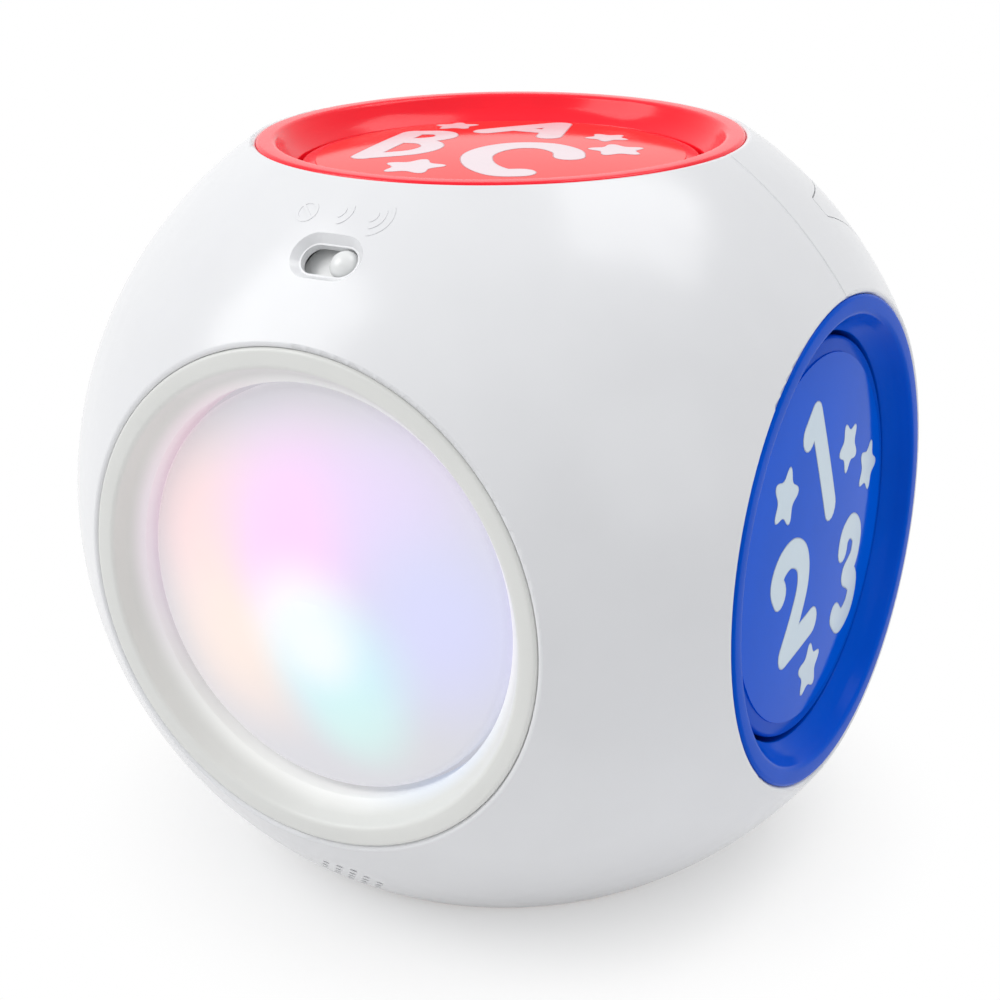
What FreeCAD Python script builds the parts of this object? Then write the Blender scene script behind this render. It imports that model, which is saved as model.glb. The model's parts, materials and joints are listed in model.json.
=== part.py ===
# Baby activity cube: a ball-shaped white body with a coloured ring and a press-in
# disc in each of its six flat faces.  Millimetres, +Z up.  The origin is the centre
# of the resting plane, under the ball centre.  Shapes are modelled about the ball
# centre and are lifted to the origin when they are written.
import FreeCAD
import Part
import math
import os

V = FreeCAD.Vector

# ---------------------------------------------------------------- overall sizes
FACE_REACH = 75.0         # ball centre to each rim plane; twice this is the overall size
RING_RADIUS = 48.9        # outside radius of the coloured ring in each face
SHELL_WALL = 3.0          # wall of the two body shells
RING_GAP = 0.25           # ring to the edge of its hole in the body
HOLE_EDGE_RISE = 0.4      # sharp hole edge above the rim plane, before it is rounded
HOLE_EDGE_ROUND = 0.8     # rounding of each hole edge
HOLE_RADIUS = RING_RADIUS + RING_GAP
BODY_RADIUS = math.hypot(FACE_REACH + HOLE_EDGE_RISE, HOLE_RADIUS)
INNER_RADIUS = BODY_RADIUS - SHELL_WALL
MID_WALL_RADIUS = BODY_RADIUS - SHELL_WALL / 2

# ---------------------------------------------------------------- shell joint
PARTING_GAP = 0.05        # each shell half stops this far from the parting plane
SEAM_GROOVE = 0.35        # depth and half width of the V groove along the seam
TONGUE_THICK = 1.3        # tongue of the front shell, inside the back shell
TONGUE_LENGTH = 2.2
TONGUE_GAP = 0.15
COLLAR_WALL = 2.05        # collar round each hole, inside the body
CLEARANCE = 0.1           # between fixed pieces that seat on each other

# ---------------------------------------------------------------- coloured rings
LAND_WIDTH = 2.5          # flat land that the cube rests on
RING_EDGE_ROUND = 0.8
CREST_ROUND = 0.6         # rounding from the land into the bowl
RING_BAND = 7.5           # outside radius to bore
BOWL_DEPTH = 5.4          # rim plane to the inner edge of the bowl
BOWL_SAG = 0.55           # hollow of the bowl below its straight chord
RING_WALL = 2.0
RING_TOP_THICK = 2.6
RING_BORE_DEPTH = 12.1    # rim plane to the end of the inner wall
RING_SKIRT_DEPTH = 9.0    # rim plane to the underside of the flange
FLANGE_WIDTH = 2.6
FLANGE_THICK = 2.0
HOOK_ANGLES = (45, 135, 225, 315)
HOOK_SPREAD = 16          # degrees of arc of each shell hook under the flange
HOOK_SIDE_GAP = 0.3
HOOK_THICK = 2.0
HOOK_WALL = 2.7
HOOK_GRIP = 1.3           # how far a hook reaches under the flange

# ---------------------------------------------------------------- press-in caps
CAP_GAP = 1.0             # cap to the bore of its ring
CAP_WALL = 2.0
CAP_TRAVEL = 3.0
CROWN_EDGE_SETBACK = 2.4  # the crown is measured this far inside the cap edge
CAP_CROWN_DEPTH = 4.75    # rim plane to the middle of a button crown
CAP_CROWN_RISE = 1.9
DOME_CROWN_DEPTH = 1.2    # the same for the light dome
DOME_CROWN_RISE = 5.1
CAP_EDGE_ROUND = 2.2
CAP_STOP_GAP = 0.3        # cap flange to the ring above it and, pressed, to the carrier
CAP_FLANGE_WIDTH = 2.4
CAP_FLANGE_THICK = 1.6
LABEL_THICK = 0.3
LABEL_GLUE = 0.05
LABEL_SETBACK = 3.0       # label edge inside the cap edge
CAP_RADIUS = RING_RADIUS - RING_BAND - CAP_GAP
CAP_FLANGE_RADIUS = CAP_RADIUS + CAP_FLANGE_WIDTH
CAP_FLANGE_DEPTH = RING_BORE_DEPTH + CAP_STOP_GAP
CAP_END_DEPTH = CAP_FLANGE_DEPTH + CAP_FLANGE_THICK

# ---------------------------------------------------------------- carriers, springs
CARRIER_DEPTH = CAP_END_DEPTH + CAP_TRAVEL + CAP_STOP_GAP
CARRIER_THICK = 2.0
CARRIER_MARGIN = 1.2      # carrier edge outside the cap flange
POST_ANGLES = (0, 120, 240)
POST_RADIUS = 2.5
POST_SETBACK = 3.2        # post axis inside the ring outside
POST_CIRCLE = RING_RADIUS - POST_SETBACK
PILOT_TOP_DEPTH = 8.5
LUG_RADIUS = 3.4
SPRING_ANGLES = (60, 180, 300)
SPRING_SETBACK = 7.4      # spring axis inside the cap edge
SPRING_CIRCLE = CAP_RADIUS - SPRING_SETBACK
SPRING_SEAT_DEPTH = 8.6
SPRING_COIL_RADIUS = 3.05
SPRING_WIRE = 0.62        # side of the flat-sided spring wire
SPRING_PITCH = 1.9
SPRING_CHORDS = 12        # straight chords in each turn
SPRING_SEAT_RADIUS = 3.8
SPRING_PEG_RADIUS = 2.2
SPRING_PEG_HEIGHT = 2.0

# ---------------------------------------------------------------- contacts and boards
BOARD_THICK = 1.6
KEY_BOARD_SIZE = (26.0, 16.0)
KEY_BOARD_DEPTH = CARRIER_DEPTH - CLEARANCE / 2 - BOARD_THICK
PLUNGER_RADIUS = 4.0
PLUNGER_END_DEPTH = 12.2
PAD_RADIUS = 6.5          # silicone contact pad under each plunger
PAD_TOP_RADIUS = 3.2
PAD_WALL = 0.8
LED_BOARD_GAP = 3.2       # lamp board to the spring seats round it
LED_BOARD_RADIUS = SPRING_CIRCLE - SPRING_SEAT_RADIUS - LED_BOARD_GAP
LED_SETBACK = 9.0
LED_CIRCLE = LED_BOARD_RADIUS - LED_SETBACK
LED_COUNT = 6
LED_RADIUS = 2.5
LED_HEIGHT = 4.5
MAIN_BOARD_SIZE = (60.0, 44.0)
STANDOFF_OFFSETS = (25.0, 17.0)
STANDOFF_HEIGHT = 5.7
STANDOFF_RADIUS = 3.0
# Flat chips on the main board: centre across and up, length, width and height.
CHIPS = ((-6.0, 3.0, 14.0, 14.0, 2.0), (10.0, 8.0, 5.0, 4.0, 1.6))
CAPACITOR_POINTS = ((12.0, -3.0), (18.0, -3.0))
CAPACITOR_RADIUS = 2.5
CAPACITOR_HEIGHT = 6.0
SOCKET_WIDTH = 5.0
SOCKET_HEIGHT = 5.0
# Wire sockets on the main board: centre across and up, and length.
SOCKETS = {
    "power": (0.0, 16.0, 7.5),
    "volume": (-16.0, 15.0, 7.5),
    "keys": (-10.0, -15.0, 10.0),
    "side_key": (8.0, -15.0, 5.0),
    "speaker": (17.0, -14.0, 6.0),
}

# ---------------------------------------------------------------- screws
SCREW_RADIUS = 1.2
SCREW_HEAD_RADIUS = 2.6
SCREW_HEAD_HEIGHT = 1.5
SCREW_HOLE_GAP = 0.1      # pilot or through hole over the shank
SHELL_SCREW_OFFSET = 45.0
SHELL_SCREW_RADIUS = 1.4
SHELL_SCREW_CORNERS = ((-1, 1), (1, -1), (-1, -1))
SHELL_SCREW_SEAT = 12.0   # screw head seat behind the parting plane
SHELL_SCREW_LENGTH = 26.0
SHELL_HEAD_RADIUS = 2.8
SHELL_HEAD_HEIGHT = 2.0
SHELL_HEAD_GAP = 0.4
BOSS_WALL = 1.8
PILOT_SPARE = 0.5         # a pilot hole goes this far past the end of its screw
PILOT_FLOOR = 1.0         # plastic left past the end of a pilot hole

# ---------------------------------------------------------------- shell clip
CLIP_WIDTH = 10.0
CLIP_THICK = 1.8
CLIP_DROP = 0.5           # clip arm below the underside of the battery tray
CLIP_LENGTH = 8.0
CLIP_ROOT = 7.0
CLIP_WINDOW = (6.0, 3.2)
CLIP_WINDOW_START = 2.6
CLIP_GAP = 0.3

# ---------------------------------------------------------------- battery corner
CELL_RADIUS = 7.25
CELL_LENGTH = 50.5
CELL_NUB_RADIUS = 2.75
CELL_NUB_HEIGHT = 1.0
CELL_GAP = 0.4
CELL_CIRCLE = 8.5         # axis of each cell from the axis of the battery box
BOX_WALL = 1.6
BOX_SPRING_HEIGHT = 4.0
CELL_SPRING_RADIUS = 3.2
CELL_SPRING_PITCH = 1.2
BOX_FLANGE_THICK = 2.0
BOX_FLANGE_TIP = 26.0
BOX_FLANGE_TIP_HALF = 5.2
BOX_FLANGE_WAIST = 14.0
BOX_SCREW_CIRCLE = 22.0
BOX_SCREW_LENGTH = 8.0
BOX_BOSS_WALL = 2.0
CONTACT_THICK = 0.4
CONTACT_MARGIN = 1.5      # contact past the nub of a cell, and inside the edge of a cell
CELL_END_GAP = 0.8        # upper end of the cells to their contact plate
CELL_EDGE_ROUND = 0.6
DOOR_THICK = 2.5
DOOR_TIP = 38.0           # door axis to its three blunt tips
DOOR_TIP_HALF = 2.2
DOOR_WAIST = 15.5         # door axis to the middle of each hollow side
DOOR_GAP = 0.25
DOOR_TIP_ROUND = 0.9
DOOR_SEAT_GAP = 0.1
DOOR_SCREW_CIRCLE = 26.0
DOOR_SCREW_LENGTH = 9.5
DOOR_HEAD_DEPTH = 1.1     # screw head below the ball surface over its axis
DOOR_BOSS_RADIUS = 4.0
DOOR_PEG_RADIUS = 1.6
DOOR_BOSS_DROP = 2.0      # door boss below the door underside over its axis
TRAY_WALL = 2.2
TRAY_FLOOR = 3.2
TRAY_BOSS_WALL = 1.2

# ---------------------------------------------------------------- volume switch
VOLUME_CENTRE = 0.6       # slot centre, to the right of the middle
VOLUME_TRAVEL = 5.7
KNOB_RADIUS = 2.9
KNOB_SIDE_GAP = 0.15
KNOB_TOP_DROP = 0.4       # knob top below the ball surface
SLOT_LENGTH = VOLUME_TRAVEL + 2 * KNOB_RADIUS + 2 * KNOB_SIDE_GAP
SLOT_WIDTH = 2 * KNOB_RADIUS + 2 * KNOB_SIDE_GAP
DISH_DEPTH = 1.6
DISH_MARGIN = 0.35        # dish floor outside the slot
DISH_SLOPE = 0.95         # widening per millimetre of height
DISH_OVERSHOOT = 0.6      # the dish cutter reaches this far above the ball
SHUTTER_THICK = 1.1
SHUTTER_WIDTH = 9.0
SHUTTER_LAP = 0.9
SHUTTER_GAP = 0.35
RAIL_THICK = 1.0
KNOB_ROUND = 0.9
LEVER_GAP = 0.3           # lever to the sides of its slot in the switch
LEVER_FLOOR_GAP = 0.3
SWITCH_BODY = (13.0, 6.0, 4.2)
SWITCH_DROP = 3.5         # shutter underside to the switch face plate
SWITCH_PLATE_THICK = 0.8
SWITCH_SCREW_OFFSET = 16.3
SWITCH_BOSS_RADIUS = 2.6
SWITCH_SCREW_RADIUS = 0.8
SWITCH_SCREW_HEAD = 1.8
SWITCH_SCREW_LENGTH = 4.2
SMALL_HEAD_HEIGHT = 1.1
SWITCH_PILOT_DEPTH = 4.0
LEVER_WIDTH = 2.4

# ---------------------------------------------------------------- speaker
SPEAKER_RADIUS = 13.5
SPEAKER_DROP = 11.8       # ball surface to the front of the speaker flange
SPEAKER_FLANGE_THICK = 1.4
SPEAKER_BASKET_DEPTH = 5.4
SPEAKER_BASKET_RADIUS = 8.0
SPEAKER_MAGNET_RADIUS = 7.0
SPEAKER_MAGNET_HEIGHT = 4.0
SPEAKER_SEAT_BORE = 11.6
SPEAKER_SCREW_OFFSET = 16.6
CONE_THICK = 0.4
SPEAKER_SCREW_LENGTH = 6.0
SPEAKER_SCREW_HEAD = 4.2
BASKET_WALL = 0.8
DUST_CAP_RADIUS = 3.4
CONE_EDGE_SETBACK = 2.0   # cone edge inside the seat bore
CONE_FRONT_DROP = 0.5
CONE_DEPTH = 3.1
GRILLE_HOLE_RADIUS = 0.75
GRILLE_PITCH = 3.3
GRILLE_RINGS = 2

# ---------------------------------------------------------------- wiring
LEAD_RADIUS = 0.6
LEAD_BEND = 5.0           # radius of every bend
LEAD_PITCH = 2.4          # between leads that run side by side
LEAD_EXIT = 10.0          # straight length where a lead leaves a part or a socket
LEAD_DROP = 14.0          # straight length of a key lead inside its carrier
LEAD_ROW = 1.6            # rows of leads above and below the middle of the power socket
WIRE_HOLE_RADIUS = 2.2

ORIGIN = V(0, 0, 0)
UP = V(0, 0, 1)
# Each face: the direction that runs across its picture, and the one that runs up it.
FACES = {
    "front": (V(1, 0, 0), V(0, 0, 1)),
    "right": (V(0, 1, 0), V(0, 0, 1)),
    "back": (V(-1, 0, 0), V(0, 0, 1)),
    "left": (V(0, -1, 0), V(0, 0, 1)),
    "top": (V(1, 0, 0), V(0, 1, 0)),
    "bottom": (V(1, 0, 0), V(0, -1, 0)),
}
BUTTON_FACES = ("right", "back", "left", "top", "bottom")


def unit(x, y, z):
    return V(x, y, z).normalize()


# The battery door is square to a corner of the cube; its first tip points between
# the right and top faces.  The volume switch and the speaker sit on two edges.
CORNER_ACROSS = unit(1, -2, 1)
CORNER_UP = unit(1, 1, 1).cross(CORNER_ACROSS)
VOLUME_ACROSS = V(1, 0, 0)
VOLUME_UP = unit(0, 1, 1)
SPEAKER_ACROSS = V(1, 0, 0)
SPEAKER_UP = unit(0, -1, 1)


# ---------------------------------------------------------------- small helpers
def placed(shape, across, up):
    """Turn a shape modelled with +Z outward so that +X runs across and +Y up."""
    out = across.cross(up)
    turn = FreeCAD.Matrix(across.x, up.x, out.x, 0, across.y, up.y, out.y, 0,
                          across.z, up.z, out.z, 0, 0, 0, 0, 1)
    moved = shape.copy()
    moved.Placement = FreeCAD.Placement(turn).multiply(shape.Placement)
    return moved


def on_face(shape, face):
    return placed(shape, *FACES[face])


def at_corner(shape):
    return placed(shape, CORNER_ACROSS, CORNER_UP)


def at_volume(shape):
    return placed(shape, VOLUME_ACROSS, VOLUME_UP)


def at_speaker(shape):
    return placed(shape, SPEAKER_ACROSS, SPEAKER_UP)


def rim(depth):
    """Height above the ball centre of a point that lies this deep below a rim plane."""
    return FACE_REACH - depth


def on_ball(radius, offset):
    """Height of a ball surface of this radius over a point this far from the axis."""
    return math.sqrt(radius ** 2 - offset ** 2)


def polar(radius, degrees, height=0.0):
    angle = math.radians(degrees)
    return V(radius * math.cos(angle), radius * math.sin(angle), height)


def rod(radius, low, high, at=ORIGIN):
    return Part.makeCylinder(radius, high - low, V(at.x, at.y, low), UP)


def tube(outer, inner, low, high, at=ORIGIN):
    return rod(outer, low, high, at).cut(rod(inner, low - 1, high + 1, at))


def slab(length, width, low, high, at=ORIGIN):
    corner = V(at.x - length / 2, at.y - width / 2, low)
    return Part.makeBox(length, width, high - low, corner)


def ball(radius):
    return Part.makeSphere(radius)


def joined(shapes):
    """Fuse shapes into one solid."""
    return shapes[0].multiFuse(shapes[1:]).removeSplitter()


def outline(start, *steps):
    """Closed wire in the XZ plane.  A step is a point, or a (point on arc, end) pair."""
    edges = []
    first = V(start[0], 0, start[1])
    here = first
    for step in steps:
        if isinstance(step[0], tuple):
            through = V(step[0][0], 0, step[0][1])
            there = V(step[1][0], 0, step[1][1])
            edges.append(Part.Arc(here, through, there).toShape())
        else:
            there = V(step[0], 0, step[1])
            edges.append(Part.LineSegment(here, there).toShape())
        here = there
    edges.append(Part.LineSegment(here, first).toShape())
    return Part.Wire(edges)


def turned(start, *steps, angle=360):
    """Solid made by turning an outline about the Z axis."""
    solid = Part.Face(outline(start, *steps)).revolve(ORIGIN, UP, angle)
    if solid.Volume < 0:
        solid.reverse()
    return solid


def round_rim(shape, radius, circle, height):
    """Round the circular edge that has this radius at this height."""
    edges = [edge for edge in shape.Edges
             if abs(edge.Length - 2 * math.pi * circle) < 0.01
             and abs(edge.BoundBox.ZMin - height) < 0.01]
    return shape.makeFillet(radius, edges)


def stadium(length, width, height, at=ORIGIN):
    """Oblong wire with round ends, flat at this height."""
    half = length / 2 - width / 2
    side = width / 2
    right = Part.Arc(V(half, -side, height), V(half + side, 0, height), V(half, side, height))
    left = Part.Arc(V(-half, side, height), V(-half - side, 0, height), V(-half, -side, height))
    top = Part.LineSegment(V(half, side, height), V(-half, side, height))
    bottom = Part.LineSegment(V(-half, -side, height), V(half, -side, height))
    wire = Part.Wire([right.toShape(), top.toShape(), left.toShape(), bottom.toShape()])
    wire.translate(V(at.x, at.y, 0))
    return wire


def screw(shank_radius, head_radius, head_height, length, at, seat):
    """Pan head on +Z with a cross recess; the shank goes down from the seat."""
    head = rod(head_radius, seat, seat + head_height, at)
    shank = rod(shank_radius, seat - length, seat, at)
    slot_width = head_radius * 0.3
    slot_length = head_radius * 1.2
    low = seat + head_height * 0.4
    high = seat + head_height + 1
    cross = slab(slot_length, slot_width, low, high, at).fuse(slab(slot_width, slot_length, low, high, at))
    return head.fuse(shank).removeSplitter().cut(cross)


def flipped(shape, height):
    """Turn a shape over about the X direction at this height."""
    moved = shape.copy()
    moved.rotate(V(0, 0, height), V(1, 0, 0), 180)
    return moved


def coil(radius, pitch, low, high):
    """Helical spring of flat-sided wire, laid in short chords between two heights."""
    start = low + 0.7 * SPRING_WIRE
    height = high - low - 1.4 * SPRING_WIRE
    count = round(height / pitch * SPRING_CHORDS)
    points = [polar(radius, 360 / SPRING_CHORDS * step, start + height * step / count)
              for step in range(count + 1)]
    along = (points[1] - points[0]).normalize()
    upward = along.cross(V(1, 0, 0)).normalize()
    outward = upward.cross(along).normalize()
    half = SPRING_WIRE / 2
    corners = [points[0] + outward * (half * across) + upward * (half * up)
               for across, up in ((1, 1), (-1, 1), (-1, -1), (1, -1), (1, 1))]
    return Part.makePolygon(points).makePipeShell([Part.makePolygon(corners)], True, True, 1)


def lead(points):
    """Insulated wire along straight runs joined by tangent arcs."""
    edges = []
    here = points[0]
    for before, corner, after in zip(points, points[1:], points[2:]):
        back = (before - corner).normalize()
        onward = (after - corner).normalize()
        half_turn = (math.pi - back.getAngle(onward)) / 2
        reach = LEAD_BEND * math.tan(half_turn)
        enter = corner + back * reach
        leave = corner + onward * reach
        inward = (back + onward).normalize()
        middle = corner + inward * (LEAD_BEND / math.cos(half_turn) - LEAD_BEND)
        edges.append(Part.LineSegment(here, enter).toShape())
        edges.append(Part.Arc(enter, middle, leave).toShape())
        here = leave
    edges.append(Part.LineSegment(here, points[-1]).toShape())
    path = Part.Wire(edges)
    profile = Part.Wire(Part.makeCircle(LEAD_RADIUS, points[0], points[1] - points[0]))
    return path.makePipeShell([profile], True, True)


# ---------------------------------------------------------------- coloured ring
def ring():
    """Ring of one face: flat land, hollow bowl, inner wall, flange and screw posts."""
    bore = RING_RADIUS - RING_BAND
    land_outer = RING_RADIUS - RING_EDGE_ROUND
    land_inner = land_outer - LAND_WIDTH
    crest = land_inner - CREST_ROUND
    rounding = 1 - math.sqrt(0.5)
    chord = V(bore - crest, 0, CREST_ROUND - BOWL_DEPTH)
    sag = V(-chord.z, 0, chord.x).normalize() * BOWL_SAG
    bowl_mid = V(crest, 0, rim(CREST_ROUND)) + chord * 0.5 + sag
    body = turned(
        (RING_RADIUS, rim(RING_EDGE_ROUND)),
        ((RING_RADIUS - RING_EDGE_ROUND * rounding, rim(RING_EDGE_ROUND * rounding)),
         (land_outer, rim(0))),
        (land_inner, rim(0)),
        ((land_inner - CREST_ROUND * math.sqrt(0.5), rim(CREST_ROUND * rounding)),
         (crest, rim(CREST_ROUND))),
        ((bowl_mid.x, bowl_mid.z), (bore, rim(BOWL_DEPTH))),
        (bore, rim(RING_BORE_DEPTH)),
        (bore + RING_WALL, rim(RING_BORE_DEPTH)),
        (bore + RING_WALL, rim(BOWL_DEPTH + CREST_ROUND * 2)),
        (RING_RADIUS - RING_WALL, rim(RING_TOP_THICK)),
        (RING_RADIUS - RING_WALL, rim(RING_SKIRT_DEPTH)),
        (RING_RADIUS + FLANGE_WIDTH, rim(RING_SKIRT_DEPTH)),
        (RING_RADIUS + FLANGE_WIDTH, rim(RING_SKIRT_DEPTH - FLANGE_THICK)),
        (RING_RADIUS, rim(RING_SKIRT_DEPTH - FLANGE_THICK)),
    )
    posts = [rod(POST_RADIUS, rim(CARRIER_DEPTH), rim(BOWL_DEPTH), polar(POST_CIRCLE, angle))
             for angle in POST_ANGLES]
    pilots = [rod(SCREW_RADIUS + SCREW_HOLE_GAP, rim(CARRIER_DEPTH) - 1, rim(PILOT_TOP_DEPTH),
                  polar(POST_CIRCLE, angle)) for angle in POST_ANGLES]
    return joined([body] + posts).cut(Part.makeCompound(pilots))


# ---------------------------------------------------------------- caps and labels
def crown_drop(rise, offset):
    """Fall of a crown at this distance from the axis, for a crown of this rise."""
    edge = CAP_RADIUS - CROWN_EDGE_SETBACK
    radius = (edge ** 2 + rise ** 2) / (2 * rise)
    return radius - math.sqrt(radius ** 2 - offset ** 2)


def crown_arc(depth, rise, outer):
    """(Point on the arc, end point) of a crown from the axis out to this radius."""
    middle = outer / 2
    return ((middle, rim(depth + crown_drop(rise, middle))),
            (outer, rim(depth + crown_drop(rise, outer))))


def crown_arc_back(depth, rise, outer):
    """The same arc run from its outer end to the axis."""
    middle = outer / 2
    return (middle, rim(depth + crown_drop(rise, middle))), (0, rim(depth))


def cap(crown_depth, rise):
    """Hollow cap with a stop flange, three spring seats and a plunger."""
    inner = CAP_RADIUS - CAP_WALL
    edge_height = rim(crown_depth + crown_drop(rise, CAP_RADIUS))
    inside_crown = crown_depth + CAP_WALL
    body = turned(
        (0, rim(crown_depth)),
        crown_arc(crown_depth, rise, CAP_RADIUS),
        (CAP_RADIUS, rim(CAP_FLANGE_DEPTH)),
        (CAP_FLANGE_RADIUS, rim(CAP_FLANGE_DEPTH)),
        (CAP_FLANGE_RADIUS, rim(CAP_END_DEPTH)),
        (inner, rim(CAP_END_DEPTH)),
        (inner, rim(inside_crown + crown_drop(rise, inner))),
        crown_arc_back(inside_crown, rise, inner),
    )
    body = round_rim(body, CAP_EDGE_ROUND, CAP_RADIUS, edge_height)
    pads = []
    for angle in SPRING_ANGLES:
        at = polar(SPRING_CIRCLE, angle)
        seat_top = rim(crown_depth + CAP_WALL / 2 + crown_drop(rise, SPRING_CIRCLE + SPRING_SEAT_RADIUS))
        pads.append(rod(SPRING_SEAT_RADIUS, rim(SPRING_SEAT_DEPTH), seat_top, at))
        pads.append(rod(SPRING_PEG_RADIUS, rim(SPRING_SEAT_DEPTH + SPRING_PEG_HEIGHT), seat_top, at))
    plunger = rod(PLUNGER_RADIUS, rim(PLUNGER_END_DEPTH), rim(crown_depth + CAP_WALL / 2))
    return joined([body, plunger] + pads)


def label():
    """Printed disc that lies on the crown of a button."""
    top = CAP_CROWN_DEPTH - LABEL_GLUE - LABEL_THICK
    outer = CAP_RADIUS - LABEL_SETBACK
    under = top + LABEL_THICK
    return turned(
        (0, rim(top)),
        crown_arc(top, CAP_CROWN_RISE, outer),
        (outer, rim(under + crown_drop(CAP_CROWN_RISE, outer))),
        crown_arc_back(under, CAP_CROWN_RISE, outer),
    )


# ---------------------------------------------------------------- carriers and contacts
def wire_hole_at():
    return V(0, -KEY_BOARD_SIZE[1], 0)


def carrier():
    """Plate behind a cap: lugs for the ring screws, spring pegs and a wire slot."""
    top = rim(CARRIER_DEPTH)
    low = top - CARRIER_THICK
    pieces = [rod(CAP_FLANGE_RADIUS + CARRIER_MARGIN, low, top)]
    pieces += [rod(LUG_RADIUS, low, top, polar(POST_CIRCLE, angle)) for angle in POST_ANGLES]
    pieces += [rod(SPRING_PEG_RADIUS, low, top + SPRING_PEG_HEIGHT, polar(SPRING_CIRCLE, angle))
               for angle in SPRING_ANGLES]
    holes = [rod(SCREW_RADIUS + SCREW_HOLE_GAP, low - 1, top + 1, polar(POST_CIRCLE, angle))
             for angle in POST_ANGLES]
    holes.append(rod(WIRE_HOLE_RADIUS, low - 1, top + 1, wire_hole_at()))
    bend_room = wire_hole_at() + V(0, LEAD_BEND / 2, 0)
    holes.append(slab(2 * WIRE_HOLE_RADIUS, LEAD_BEND, low - 1, top + 1, bend_room))
    return joined(pieces).cut(Part.makeCompound(holes))


def standoff_points():
    across, up = STANDOFF_OFFSETS
    return [V(sx * across, sy * up, 0) for sx in (-1, 1) for sy in (-1, 1)]


def front_carrier():
    """The front carrier also holds the main board on four standoffs."""
    low = rim(CARRIER_DEPTH) - CARRIER_THICK
    posts = [rod(STANDOFF_RADIUS, low - STANDOFF_HEIGHT, low + 1, at) for at in standoff_points()]
    pilots = [rod(SCREW_RADIUS + SCREW_HOLE_GAP, low - STANDOFF_HEIGHT - 1, low - PILOT_SPARE, at)
              for at in standoff_points()]
    return joined([carrier()] + posts).cut(Part.makeCompound(pilots))


def carrier_screws():
    """Three screws that go up through a carrier into the posts of its ring."""
    seat = rim(CARRIER_DEPTH) - CARRIER_THICK - CLEARANCE / 2
    length = CARRIER_DEPTH + CARRIER_THICK - PILOT_TOP_DEPTH - 1
    screws = []
    for angle in POST_ANGLES:
        piece = screw(SCREW_RADIUS, SCREW_HEAD_RADIUS, SCREW_HEAD_HEIGHT, length, ORIGIN, seat)
        piece = flipped(piece, seat)
        piece.translate(polar(POST_CIRCLE, angle))
        screws.append(piece)
    return screws


def cap_springs():
    low = rim(CARRIER_DEPTH) + CLEARANCE / 2
    high = rim(SPRING_SEAT_DEPTH) - CLEARANCE / 2
    springs = []
    for angle in SPRING_ANGLES:
        piece = coil(SPRING_COIL_RADIUS, SPRING_PITCH, low, high)
        piece.translate(polar(SPRING_CIRCLE, angle))
        springs.append(piece)
    return springs


def contact_pad():
    """Silicone pad: a flat foot and a hollow cone that gives way under the plunger."""
    foot = rim(KEY_BOARD_DEPTH) + CLEARANCE / 2
    top = rim(PLUNGER_END_DEPTH) - CLEARANCE
    waist = PAD_RADIUS - 2 * PAD_WALL
    return turned(
        (0, top),
        (PAD_TOP_RADIUS, top),
        (waist, foot + PAD_WALL),
        (PAD_RADIUS, foot + PAD_WALL),
        (PAD_RADIUS, foot),
        (waist - PAD_WALL, foot),
        (PAD_TOP_RADIUS - PAD_WALL, top - PAD_WALL),
        (0, top - PAD_WALL),
    )


def key_board():
    low = rim(KEY_BOARD_DEPTH) - BOARD_THICK
    return slab(KEY_BOARD_SIZE[0], KEY_BOARD_SIZE[1], low, rim(KEY_BOARD_DEPTH))


def led_board():
    return rod(LED_BOARD_RADIUS, rim(KEY_BOARD_DEPTH) - BOARD_THICK, rim(KEY_BOARD_DEPTH))


def leds():
    """Round-topped lamps in a circle under the light dome."""
    low = rim(KEY_BOARD_DEPTH) + CLEARANCE / 2
    lamps = []
    for number in range(LED_COUNT):
        at = polar(LED_CIRCLE, 360 / LED_COUNT * (number + 0.5))
        lamp = rod(LED_RADIUS, low, low + LED_HEIGHT, at)
        lamps.append(round_rim_of(lamp, LED_RADIUS * 0.8))
    return lamps


def round_rim_of(cylinder, radius):
    """Round the top edge of an upright cylinder."""
    top = cylinder.BoundBox.ZMax
    edges = [edge for edge in cylinder.Edges
             if edge.BoundBox.ZMin > top - 0.001]
    return cylinder.makeFillet(radius, edges)


# ---------------------------------------------------------------- main board
def main_board_top():
    return rim(CARRIER_DEPTH) - CARRIER_THICK - STANDOFF_HEIGHT - CLEARANCE / 2


def main_board():
    top = main_board_top()
    holes = [rod(SCREW_RADIUS + SCREW_HOLE_GAP, top - BOARD_THICK - 1, top + 1, at)
             for at in standoff_points()]
    board = slab(MAIN_BOARD_SIZE[0], MAIN_BOARD_SIZE[1], top - BOARD_THICK, top)
    return board.cut(Part.makeCompound(holes))


def board_back():
    """Height of the parts side of the main board above the ball centre."""
    return main_board_top() - BOARD_THICK - CLEARANCE / 2


def main_board_parts():
    """Chips, capacitors and wire sockets on the main board."""
    high = board_back()
    parts = [slab(length, width, high - height, high, V(across, up, 0))
             for across, up, length, width, height in CHIPS]
    parts += [rod(CAPACITOR_RADIUS, high - CAPACITOR_HEIGHT, high, V(across, up, 0))
              for across, up in CAPACITOR_POINTS]
    parts += [slab(length, SOCKET_WIDTH, high - SOCKET_HEIGHT, high, V(across, up, 0))
              for across, up, length in SOCKETS.values()]
    return parts


def board_screws():
    seat = board_back()
    length = BOARD_THICK + STANDOFF_HEIGHT - 6 * CLEARANCE
    screws = []
    for at in standoff_points():
        piece = screw(SCREW_RADIUS, SCREW_HEAD_RADIUS, SCREW_HEAD_HEIGHT, length, ORIGIN, seat)
        piece = flipped(piece, seat)
        piece.translate(at)
        screws.append(piece)
    return screws


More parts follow.
